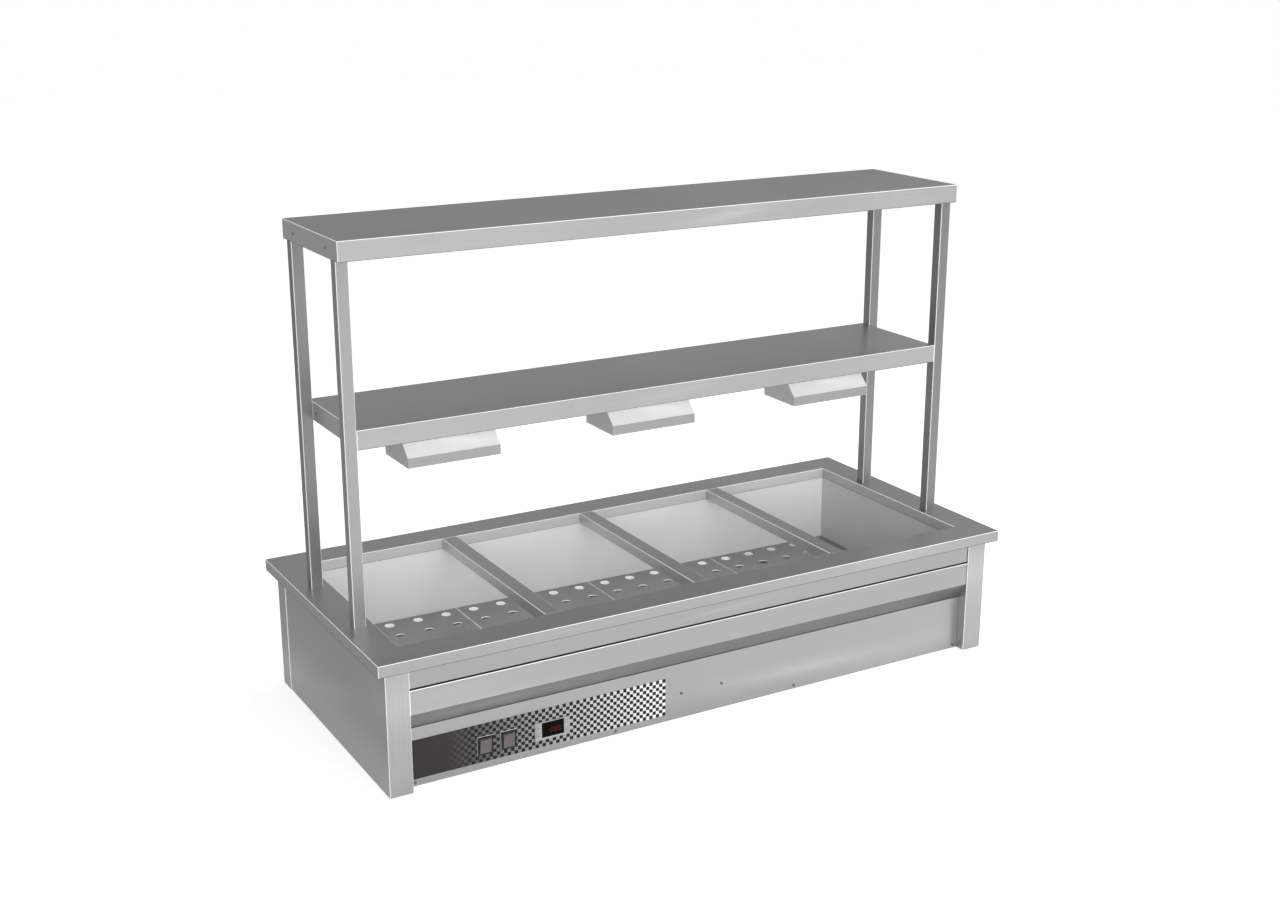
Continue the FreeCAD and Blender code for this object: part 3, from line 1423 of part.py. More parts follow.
def make_contactor():
    """Contactor that switches the elements, on a rail screwed behind the panel."""
    left, right = bracket_screw_places()
    x0, x1 = left - S.rail_overhang, right + S.rail_overhang
    y0 = -panel_back + S.seat_gap
    z = S.bracket_screw_height
    wall = S.panel_sheet
    half = S.rail_height / 2
    web_half = half - S.rail_depth
    web = block("rail_web", x0, x1, y0, y0 + wall, z - web_half, z + web_half)
    pieces = [web]
    for sz, label in ((-1, "low"), (1, "high")):
        inner, outer = z + sz * (web_half - wall), z + sz * half
        low, high = (outer, inner) if sz < 0 else (inner, outer)
        step_end = z + sz * web_half
        step_low, step_high = (inner, step_end) if sz > 0 else (step_end, inner)
        pieces.append(block(f"rail_step_{label}", x0, x1, y0, y0 + S.rail_depth, step_low, step_high))
        top = y0 + S.rail_depth
        pieces.append(block(f"rail_wing_{label}", x0, x1, top - wall, top, low, high))
    radius = S.screw_radius + S.fit_gap
    holes = [rod("rail_hole", "y", x, y0 - S.overrun, z, radius, S.overrun * 2) for x in (left, right)]
    rail = without("contactor_rail", joined("rail_solid", pieces), holes)

    middle = (left + right) / 2
    start = y0 + S.rail_depth + S.seat_gap
    z = z - S.contactor_drop
    foot_half, top_half = S.contactor_height / 2, S.contactor_height / 2 - S.contactor_step
    half_x = S.contactor_width / 2
    split = start + S.contactor_depth / 2
    x0, x1 = middle - half_x, middle + half_x
    rear_part = block("contactor_foot", x0, x1, start, split, z - foot_half, z + foot_half)
    end = start + S.contactor_depth
    front_part = block("contactor_top", x0, x1, split, end, z - top_half, z + top_half)
    node("contactor", group("contactor", [rail, joined("contactor_case", [rear_part, front_part])]))


def tube_along(name, points, radius):
    """Sweep a round tube along straight runs joined by tangent arcs."""
    spots = [Vector(*(value_of(c) for c in point)) for point in points]
    edges = []
    start = spots[0]
    for before, corner, after in zip(spots, spots[1:], spots[2:]):
        one, two = (before - corner), (after - corner)
        reach = LOOM_BEND_SHARE * min(one.Length, two.Length)
        a = corner + one.normalize() * reach
        b = corner + two.normalize() * reach
        turn = one.getAngle(two) / 2
        bend = reach * math.tan(turn)
        inward = (one + two).normalize()
        crown = corner + inward * (bend / math.sin(turn) - bend)
        edges.append(Part.LineSegment(start, a).toShape())
        edges.append(Part.Arc(a, crown, b).toShape())
        print(f"{name}: bend radius {bend:.1f} mm")
        start = b
    edges.append(Part.LineSegment(start, spots[-1]).toShape())
    path = Part.Wire(edges)
    heading = edges[0].tangentAt(edges[0].FirstParameter)
    section = Part.Wire([Part.makeCircle(value_of(radius), spots[0], heading)])
    solid = path.makePipeShell([section], True, False)
    expected = math.pi * value_of(radius) ** 2 * path.Length
    print(f"{name}: volume {solid.Volume:.0f} of {expected:.0f} mm3")
    item = DOC.addObject("Part::Feature", name)
    item.Shape = solid
    return item


def make_looms():
    """Wiring inside the casing and under the lower shelf."""
    radius = S.loom_radius
    rest = S.panel_sheet + radius + S.seat_gap
    block_left = -block_x - S.block_length / 2 - S.seat_gap
    block_back = -block_y + S.block_width / 2 + S.seat_gap
    case_end = -decal_front + S.display_depth + S.seat_gap
    offset = radius * 8
    supply_x = -block_x + S.block_length / 3
    heater_x = -block_x - S.block_length / 3
    probe_level = floor_at(-tank_in_x) + S.element_lift
    link_x = -tank_out_x - S.element_tail - S.pin_length - S.wire_radius - S.seat_gap
    control = tube_along(
        "control_loom",
        [
            (-display_x, case_end, S.switch_height),
            (-display_x, case_end + offset, S.switch_height),
            (-display_x - offset, case_end + offset * 2, rest),
            (-display_x - offset, -block_y, rest),
            (block_left, -block_y, rest),
        ],
        radius,
    )
    gland_end = back_in - S.cable_tail - S.seat_gap
    supply = tube_along(
        "supply_loom",
        [
            (-cable_gland_x, gland_end, S.cable_gland_height),
            (-cable_gland_x, gland_end - offset * 2, S.cable_gland_height),
            (-cable_gland_x + offset * 2, gland_end - offset * 5, rest),
            (supply_x - offset * 3, offset, rest),
            (supply_x, -offset, rest),
            (supply_x, block_back, rest),
        ],
        radius,
    )
    under_link = probe_level - S.wire_radius - S.seat_gap
    heater = tube_along(
        "heater_loom",
        [
            (heater_x, block_back, rest),
            (heater_x, block_back + offset * 2, rest),
            (link_x + offset * 3, -offset, rest),
            (link_x, 0, rest),
            (link_x, 0, under_link),
        ],
        radius,
    )
    legs = element_legs()
    link = rod("link_wire", "y", link_x, legs[0], probe_level, S.wire_radius, legs[3] - legs[0])
    shelf_level = lower_under - S.wire_radius - S.seat_gap
    lamp_y = -S.hanger_width
    lamp_start = -lower_shelf_x + S.panel_sheet + S.channel_flange + S.seat_gap
    trunk_length = lamp_pitch - lamp_start
    trunk = rod("lamp_trunk", "x", lamp_start, lamp_y, shelf_level, S.wire_radius, trunk_length)
    drops = [trunk]
    for share in LAMP_SHARES:
        drop_x = lamp_pitch * share
        drop_length = shelf_level - lamp_crown
        drops.append(rod("lamp_drop_wire", "z", drop_x, lamp_y, lamp_crown, S.wire_radius, drop_length))
    lamp = joined("lamp_loom", drops)
    node("wiring_looms", group("wiring_looms", [control, supply, heater, link, lamp]))


def make_cable_gland():
    """Cable gland through the back panel, with its locknut inside."""
    x, z = -cable_gland_x, S.cable_gland_height
    start = back_in - S.cable_tail
    thread_length = S.cable_tail + S.panel_sheet + S.cable_hex_length
    thread = rod("gland_thread", "y", x, start, z, S.cable_thread, thread_length)
    hexed = hexagon("gland_hex", "y", x, back_out, z, S.cable_hex, S.cable_hex_length)
    dome_start = back_out + S.cable_hex_length
    dome = rod("gland_dome", "y", x, dome_start, z, S.cable_thread + S.fit_gap, S.cable_dome)
    whole = joined("gland_solid", [thread, hexed, dome])
    length = S.cable_tail + S.cable_hex_length + S.cable_dome + S.overrun * 2
    bore = rod("gland_bore", "y", x, start - S.overrun, z, S.cable_bore, length)
    gland = without("gland_body", whole, [bore])
    nut = hexagon("gland_locknut", "y", x, back_in - S.cable_hex_length, z, S.cable_hex, S.cable_hex_length)
    nut_bore = S.cable_thread + S.fit_gap
    hole_start = back_in - S.cable_hex_length - S.overrun
    nut_hole = rod("locknut_bore", "y", x, hole_start, z, nut_bore, S.cable_hex_length + S.overrun * 2)
    locknut = without("locknut", nut, [nut_hole])
    node("cable_gland", group("cable_gland", [gland, locknut]))


# Drain
def valve_axis_y():
    """Return the place of the valve's stem, front to back."""
    return S.valve_start + S.valve_length / 2


def make_strainer():
    """Perforated strainer over the drain in the tank's floor."""
    body = new_body("drain_strainer")
    x = drain_x
    wall = S.sheet
    low = floor_at(x) + S.seat_gap + S.fit_gap
    pad(body, "xy", 0 * S.sheet, wall, [rectangle(S.strainer_hole, S.strainer_hole)], "core")
    disc = sketch_at(body, "xy", 0 * S.sheet, "disc_outline")
    ring(disc, 0, 0, S.strainer_radius)
    plate = body.newObject("PartDesign::Pad", "disc")
    plate.Profile = disc
    bind(plate, "Length", wall)
    first = pocket(
        body,
        "xy",
        -S.overrun,
        wall + S.overrun,
        circles=[(S.strainer_ring, 0, S.strainer_hole)],
        name="hole",
    )
    pattern = body.newObject("PartDesign::PolarPattern", "holes")
    pattern.Originals = [first]
    pattern.Axis = (first.Profile[0], ["N_Axis"])
    pattern.Angle = 360
    pattern.Occurrences = STRAINER_HOLES
    body.Tip = pattern
    body.Placement = FreeCAD.Placement(Vector(), FreeCAD.Rotation(Vector(0, 1, 0), fall_angle.value))
    bind(body, "Placement.Rotation.Angle", fall_angle)
    place(body, x, 0, low)
    node("drain_strainer", body)


def make_drain_pipes():
    """Elbow under the tank's floor and the outlet pipe through the back panel."""
    x, z = drain_x, S.drain_axis
    top = floor_at(x) - S.sheet - S.seat_gap - S.fit_gap
    down = rod("elbow_down", "z", x, 0, z, S.pipe_radius, top - z)
    rim = rod("elbow_rim", "z", x, 0, top - S.pipe_flange_sheet, S.pipe_flange, S.pipe_flange_sheet)
    along = rod("elbow_along", "y", x, 0, z, S.pipe_radius, S.valve_start - S.seat_gap)
    corner = DOC.addObject("Part::Sphere", "elbow_corner")
    bind(corner, "Radius", S.pipe_radius)
    place(corner, x, 0, z)
    whole = joined("elbow_solid", [down, rim, along, corner])
    bore_down = rod("elbow_bore_down", "z", x, 0, z, S.pipe_bore, top - z + S.overrun)
    bore_along = rod("elbow_bore_along", "y", x, 0, z, S.pipe_bore, S.valve_start + S.overrun)
    bore_corner = DOC.addObject("Part::Sphere", "elbow_bore_corner")
    bind(bore_corner, "Radius", S.pipe_bore)
    place(bore_corner, x, 0, z)
    elbow = without("elbow", whole, [bore_down, bore_along, bore_corner])

    start = S.valve_start + S.valve_length + S.seat_gap
    shoulder = back_in - S.seat_gap
    end = back_out + S.outlet_proud
    pipe = rod("outlet_pipe", "y", x, start, z, S.pipe_radius, shoulder - start)
    neck_end = back_out + S.seat_gap
    neck_radius = S.spigot_radius - S.spigot_step
    neck = rod("outlet_neck", "y", x, start, z, neck_radius, neck_end - start)
    spigot = rod("outlet_spigot", "y", x, neck_end, z, S.spigot_radius, end - neck_end)
    bore = rod("outlet_bore", "y", x, start - S.overrun, z, S.pipe_bore, end - start + S.overrun * 2)
    outlet = without("outlet", joined("outlet_solid", [pipe, neck, spigot]), [bore])
    node("drain_pipes", group("drain_pipes", [elbow, outlet]))


def make_valve():
    """Ball valve in the drain pipe, its ball, stem and lever."""
    x, z = drain_x, S.drain_axis
    y0 = S.valve_start
    axis_y = valve_axis_y()
    middle_length = S.valve_length - S.valve_hex_length * 2
    inlet = hexagon("valve_inlet", "y", x, y0, z, S.valve_hex, S.valve_hex_length)
    middle = rod("valve_middle", "y", x, y0 + S.valve_hex_length, z, S.valve_radius, middle_length)
    end_y = y0 + S.valve_length - S.valve_hex_length
    outlet = hexagon("valve_outlet", "y", x, end_y, z, S.valve_hex, S.valve_hex_length)
    neck_low = z - S.valve_radius - S.valve_neck_length
    neck = rod("valve_neck", "z", x, axis_y, neck_low, S.valve_neck, S.valve_neck_length + S.valve_radius)
    whole = joined("valve_solid", [inlet, middle, outlet, neck])
    bore = rod("valve_bore", "y", x, y0 - S.overrun, z, S.pipe_bore, S.valve_length + S.overrun * 2)
    chamber = DOC.addObject("Part::Sphere", "valve_chamber")
    bind(chamber, "Radius", S.ball_radius + S.fit_gap)
    place(chamber, x, axis_y, z)
    stem_hole = rod(
        "valve_stem_hole",
        "z",
        x,
        axis_y,
        neck_low - S.overrun,
        S.stem_radius + S.fit_gap,
        S.valve_radius + S.valve_neck_length + S.overrun,
    )
    node("drain_valve_body", without("drain_valve_body", whole, [bore, chamber, stem_hole]))

    stem_low = z - S.valve_radius - S.stem_length
    ball = DOC.addObject("Part::Sphere", "valve_ball")
    bind(ball, "Radius", S.ball_radius)
    place(ball, x, axis_y, z)
    stem = rod("valve_stem", "z", x, axis_y, stem_low, S.stem_radius, S.valve_radius + S.stem_length)
    turning = joined("ball_and_stem", [ball, stem])
    waterway = rod("ball_bore", "x", x - S.ball_radius * 2, axis_y, z, S.pipe_bore, S.ball_radius * 4)
    bored = without("bored_ball", turning, [waterway])
    half = S.lever_width / 2
    lever_top = stem_low + S.lever_sheet
    y0, y1 = axis_y - half, axis_y + half
    strap = block("lever_strap", x - S.lever_length, x + half, y0, y1, stem_low, lever_top)
    radius = S.stem_radius + S.fit_gap
    hole = rod("lever_hole", "z", x, axis_y, stem_low - S.overrun, radius, S.lever_sheet + S.overrun * 2)
    lever = without("lever", strap, [hole])
    node("valve_lever", group("valve_lever", [lever, bored]))


# Fasteners
def screw(name, axis, sense, x, y, z, shank, head, head_tall, length):
    """Return a pan-head screw whose head's underside is at a point."""
    dx, dy, dz = (sense if axis == one else 0 for one in "xyz")
    if sense > 0:
        head_spot = (x - dx * head_tall, y - dy * head_tall, z - dz * head_tall)
        top = rod(name + "_head", axis, *head_spot, head, head_tall)
        stem = rod(name + "_shank", axis, x, y, z, shank, length)
    else:
        top = rod(name + "_head", axis, x, y, z, head, head_tall)
        spot = (x + dx * length, y + dy * length, z + dz * length)
        stem = rod(name + "_shank", axis, *spot, shank, length + head_tall / 2)
    return joined(name, [top, stem])


def make_fasteners():
    """Screws, bolts, studs and nuts, kept in one node as separate solids."""
    made = []
    small = (S.screw_radius, S.screw_head, S.screw_head_tall, S.screw_length)
    for x, z in panel_screw_places():
        made.append(screw("panel_screw", "y", 1, x, -panel_front, z, *small))
    upper_level = S.overall_height - S.shelf_screw_drop
    lower_level = lower_top - S.shelf_screw_drop
    bolt = (S.bolt_radius, S.bolt_head, S.bolt_head_tall, S.screw_length)
    for side in (-1, 1):
        for sy in (-1, 1):
            y = sy * S.shelf_screw_y
            made.append(screw("upper_screw", "x", -side, side * upper_shelf_x, y, upper_level, *small))
            made.append(screw("lower_screw", "x", -side, side * lower_shelf_x, y, lower_level, *small))
            web = lower_shelf_x - S.panel_sheet - S.sheet
            made.append(screw("channel_bolt", "x", side, side * web, sy * post_mid_y, lower_level, *bolt))
            x, y = side * post_mid_x, sy * post_mid_y
            under = deck_under
            washer = rod("washer", "z", x, y, under - S.washer_sheet, S.washer_radius, S.washer_sheet)
            nut_low = under - S.washer_sheet - S.nut_tall
            nut = hexagon("anchor_nut", "z", x, y, nut_low, S.nut_radius, S.nut_tall)
            bore = S.stud_radius + S.fit_gap
            bore_low = nut_low - S.overrun
            bore_length = S.washer_sheet + S.nut_tall + S.overrun * 2
            for item in (washer, nut):
                hole = rod("nut_bore", "z", x, y, bore_low, bore, bore_length)
                made.append(without("bored", item, [hole]))
    half_foot = S.hanger_foot / 2
    for share in LAMP_SHARES:
        for side in (-1, 1):
            x = lamp_pitch * share + side * S.hanger_spread
            high = lower_under - S.hanger_sheet
            low = lamp_crown + S.hanger_sheet
            nut_low = high - S.hanger_nut_tall
            nut = hexagon("hanger_nut", "z", x, half_foot, nut_low, S.hanger_nut, S.hanger_nut_tall)
            stud_low = nut_low - S.sheet
            stud = rod("hanger_stud", "z", x, half_foot, stud_low, S.hanger_stud, lower_under - stud_low)
            made.append(joined("hung_nut", [nut, stud]))
            nut = hexagon("hood_nut", "z", x, half_foot, low, S.hanger_nut, S.hanger_nut_tall)
            stud_length = S.hanger_sheet + S.hanger_nut_tall + S.sheet
            stud = rod("hood_stud", "z", x, half_foot, lamp_crown, S.hanger_stud, stud_length)
            made.append(joined("hood_fixing", [nut, stud]))
    node("fasteners", group("fasteners", made))


def build():
    """Build every sub-part."""
    make_top_deck()
    make_tank()
    make_divider_bars()
    make_perforated_plates()
    make_side_panels()
    make_rear_corners()
    make_back_panel()
    make_front_bands()
    make_control_panel()
    make_base_pan()
    make_posts()
    make_top_rails()
    make_shelves()
    make_lamps()
    make_switches()
    make_controller()
    make_elements()
    make_sensors()
    make_blanket()
    make_terminal_block()
    make_contactor()
    make_looms()
    make_cable_gland()
    make_strainer()
    make_drain_pipes()
    make_valve()
    make_fasteners()
    DOC.recompute()


def check():
    """Stop if any object failed or any sub-part's shape is unusable."""
    for item in DOC.Objects:
        if "Invalid" in item.State or "Error" in item.State:
            raise RuntimeError(f"{item.Label} failed: {item.State}")
    for name, item in NODES.items():
        shape = item.Shape
        if shape.isNull() or not shape.isValid() or not shape.Solids:
            raise RuntimeError(f"{name} has no valid solid")
        for solid in shape.Solids:
            if solid.Volume <= 0:
                raise RuntimeError(f"{name} has an empty solid")


def export():
    """Write each sub-part's shape to its own file."""
    os.makedirs("parts", exist_ok=True)
    for name, item in NODES.items():
        item.Shape.exportStep(f"parts/{name}.step")
    print(f"{len(NODES)} sub-parts written")


build()
check()
export()
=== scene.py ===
"""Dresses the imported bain-marie for its portrait: finishes, fine pieces, studio and camera."""

import json
import logging
import math
from collections.abc import Callable, Sequence
from dataclasses import dataclass
from enum import Enum

import bmesh
import bpy
from mathutils import Matrix, Vector

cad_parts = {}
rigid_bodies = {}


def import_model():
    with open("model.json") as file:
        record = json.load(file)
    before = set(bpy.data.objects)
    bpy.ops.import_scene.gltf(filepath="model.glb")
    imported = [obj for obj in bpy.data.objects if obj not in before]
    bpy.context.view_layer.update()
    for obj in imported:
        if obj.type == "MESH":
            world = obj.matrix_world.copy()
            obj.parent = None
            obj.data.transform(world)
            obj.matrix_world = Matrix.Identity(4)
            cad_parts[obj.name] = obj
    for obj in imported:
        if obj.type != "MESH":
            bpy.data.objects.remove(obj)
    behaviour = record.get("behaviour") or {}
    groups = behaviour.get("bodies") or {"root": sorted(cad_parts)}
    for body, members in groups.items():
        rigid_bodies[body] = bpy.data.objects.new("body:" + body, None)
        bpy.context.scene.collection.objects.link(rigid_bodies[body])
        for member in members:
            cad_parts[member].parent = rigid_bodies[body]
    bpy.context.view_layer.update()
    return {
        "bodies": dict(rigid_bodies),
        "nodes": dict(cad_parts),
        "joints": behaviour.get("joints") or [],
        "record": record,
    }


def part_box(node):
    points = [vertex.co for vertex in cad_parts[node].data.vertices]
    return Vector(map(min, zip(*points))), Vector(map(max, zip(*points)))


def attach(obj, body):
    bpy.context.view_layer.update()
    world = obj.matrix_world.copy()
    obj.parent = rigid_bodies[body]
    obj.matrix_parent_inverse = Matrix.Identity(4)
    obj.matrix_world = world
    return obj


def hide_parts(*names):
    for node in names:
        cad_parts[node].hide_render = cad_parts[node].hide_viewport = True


LOG = logging.getLogger("bain_marie")
MM = 0.001
Triple = tuple[float, float, float]


class Grain(Enum):
    """The direction that a sheet's brushing runs in, as a stretch for its noise."""

    ALONG_X = (2.0, 420.0, 420.0)
    ALONG_Y = (420.0, 2.0, 420.0)
    ALONG_Z = (420.0, 420.0, 2.0)


class Axis(Enum):
    """The way that a turned or screwed piece points, as a turn from straight up."""

    DOWN = (math.pi, 0.0, 0.0)
    FRONT = (math.pi / 2, 0.0, 0.0)
    RIGHT = (0.0, math.pi / 2, 0.0)
    LEFT = (0.0, -math.pi / 2, 0.0)

    def matrix(self, spot: Triple) -> Matrix:
        """Give the placing of a piece that stands at a spot.

        Args:
            spot: The place in the part's frame, in metres.

        Returns:
            The matrix that turns and moves the piece there.
        """
        turn = Matrix.Rotation(self.value[1], 4, "Y") @ Matrix.Rotation(self.value[0], 4, "X")
        return Matrix.Translation(spot) @ turn


# Shader tools
def operator(operation: str, swap: bool = False) -> Callable[["Value", object], "Value"]:
    """Make the method behind one of Python's operators.

    Args:
        operation: The Math node's operation.
        swap: Whether the other value comes first.

    Returns:
        The method.
    """
    return lambda value, other: value.math(operation, other, swap=swap)


class Value:
    """A number in a shader that Python's own operators work on."""

    def __init__(self, tree: bpy.types.NodeTree, source: bpy.types.NodeSocket) -> None:
        """Wrap one output socket of a node tree."""
        self.tree = tree
        self.source = source

    def math(self, operation: str, *others: "Value | float", swap: bool = False) -> "Value":
        """Add a Math node to the tree.

        Args:
            operation: The Math node's operation.
            others: The further values.
            swap: Whether this value comes second.

        Returns:
            The node's result.
        """
        node = self.tree.nodes.new("ShaderNodeMath")
        node.operation = operation
        values = [self, *others]
        if swap:
            values.reverse()
        for socket, value in zip(node.inputs, values):
            if isinstance(value, Value):
                self.tree.links.new(value.source, socket)
            else:
                socket.default_value = value
        return Value(self.tree, node.outputs[0])

    __add__ = __radd__ = operator("ADD")
    __sub__ = operator("SUBTRACT")
    __rsub__ = operator("SUBTRACT", swap=True)
    __mul__ = __rmul__ = operator("MULTIPLY")
    __truediv__ = operator("DIVIDE")
    __rtruediv__ = operator("DIVIDE", swap=True)
    __pow__ = operator("POWER")
    __gt__ = operator("GREATER_THAN")
    __lt__ = operator("LESS_THAN")

    def limited(self) -> "Value":
        """Keep between 0 and 1."""
        return self.math("MAXIMUM", 0.0).math("MINIMUM", 1.0)


Values = tuple[Value, Value, Value]


class Painter:
    """Builds one material's node tree around its main shader."""

    def __init__(self, name: str) -> None:
        """Start a material with a main shader and nothing else.

        Args:
            name: The material's name.
        """
        self.material = bpy.data.materials.new(name)
        self.material.use_nodes = True
        self.tree = self.material.node_tree
        self.shader = self.tree.nodes["Principled BSDF"]

    def add(self, kind: str, settings: dict | None = None, **inputs: object) -> bpy.types.Node:
        """Add one node.

        Args:
            kind: The node's type, without its ShaderNode start.
            settings: The node's own settings, made first.
            inputs: Values or links for its sockets, with _ for a space.

        Returns:
            The node.
        """
        node = self.tree.nodes.new("ShaderNode" + kind)
        for key, value in (settings or {}).items():
            setattr(node, key, value)
        for key, value in inputs.items():
            self.feed(node.inputs[key.replace("_", " ")], value)
        return node

    def feed(self, socket: bpy.types.NodeSocket, value: object) -> None:
        """Link or set one socket.

        Args:
            socket: The socket to fill.
            value: A wrapped number, an output socket, or a plain value.
        """
        if isinstance(value, Value):
            self.tree.links.new(value.source, socket)
        elif isinstance(value, bpy.types.NodeSocket):
            self.tree.links.new(value, socket)
        elif isinstance(value, Sequence) and len(value) == 3 and socket.type == "RGBA":
            socket.default_value = (*value, 1.0)
        else:
            socket.default_value = value

    def main(self, **inputs: object) -> None:
        """Fill sockets of the main shader."""
        for key, value in inputs.items():
            self.feed(self.shader.inputs[key.replace("_", " ")], value)

    def place(self) -> bpy.types.NodeSocket:
        """Give the place on the piece, in its own coordinates."""
        return self.add("TexCoord").outputs["Object"]

    def stretched(self, scale: Triple) -> bpy.types.NodeSocket:
        """Give the place on the piece, stretched.

        Args:
            scale: The factor along each axis.

        Returns:
            The stretched place.
        """
        node = self.add("VectorMath", {"operation": "MULTIPLY"})
        self.feed(node.inputs[0], self.place())
        self.feed(node.inputs[1], scale)
        return node.outputs[0]

    def noise(self, where: bpy.types.NodeSocket, scale: float, detail: float = 2.0) -> Value:
        """Add noise.

        Args:
            where: The place to read it at.
            scale: Its fineness.
            detail: Its number of finer layers.

        Returns:
            The noise, from 0 to 1.
        """
        node = self.add("TexNoise", Vector=where, Scale=scale, Detail=detail, Roughness=0.6)
        return Value(self.tree, node.outputs["Fac"])

    def axes(self, where: bpy.types.NodeSocket) -> Values:
        """Split a vector into its three numbers."""
        node = self.add("SeparateXYZ", Vector=where)
        return tuple(Value(self.tree, output) for output in node.outputs)

    def mixed(self, factor: Value | float, low: object, high: object) -> bpy.types.NodeSocket:
        """Mix two colours.

        Args:
            factor: How much of the second, from 0 to 1.
            low: The first colour.
            high: The second colour.

        Returns:
            The mixed colour.
        """
        node = self.add("Mix", {"data_type": "RGBA"})
        self.feed(node.inputs[0], factor)
        self.feed(node.inputs[6], low)
        self.feed(node.inputs[7], high)
        return node.outputs[2]

    def relief(self, height: Value, strength: float, distance: float) -> None:
        """Raise the surface by a height.

        Args:
            height: The height, from 0 to 1.
            strength: How much of it shows.
            distance: What a height of 1 stands for, in metres.
        """
        bump = self.add("Bump", Height=height, Strength=strength, Distance=distance)
        self.main(Normal=bump.outputs["Normal"])


def grey(level: float) -> Triple:
    """Give a neutral colour."""
    return (level, level, level)


# Finishes
@dataclass(frozen=True)
class Tones:
    """How light a sheet's faces are painted by the way that they point: painted light and shade.
    """

    up: float = 0.45
    front: float = 0.52
    side: float = 0.48
    under: float = 0.30
    slope: float = 0.52


@dataclass(frozen=True)
class Glint:
    """A soft painted highlight streak on a sheet, standing in for a reflection."""

    middle: Triple
    reach: Triple
    climb: Triple = (0.0, 0.0, 0.0)
    gain: float = 0.25

    def strength(self, place: Values) -> Value:
        """Give the streak's strength at a place.

        Args:
            place: The place's three numbers.

        Returns:
            The strength, highest at the streak's middle.
        """
        x, y, z = (value - centre for value, centre in zip(place, self.middle))
        z = z - x * self.climb[0] - y * self.climb[1]
        far = 1.0
        for value, reach in zip((x, y, z), self.reach):
            share = value / reach
            far = share * share + far
        return (1.0 / (far * far)) * self.gain


@dataclass(frozen=True)
class Stripe:
    """A thin painted highlight line across one axis, where a sheet's edge would catch the light.
    """

    axis: int
    place: float
    faces: int
    half: float = 0.0007

    def strength(self, place: Values, facing: Values) -> Value:
        """Give the line's strength at a place.

        Args:
            place: The place's three numbers.
            facing: The three numbers of the face's normal.

        Returns:
            1 on the line and on faces that point along its own axis, else 0.
        """
        near = (place[self.axis] - self.place).math("ABSOLUTE") < self.half
        return near * (facing[self.faces].math("ABSOLUTE") > 0.5)


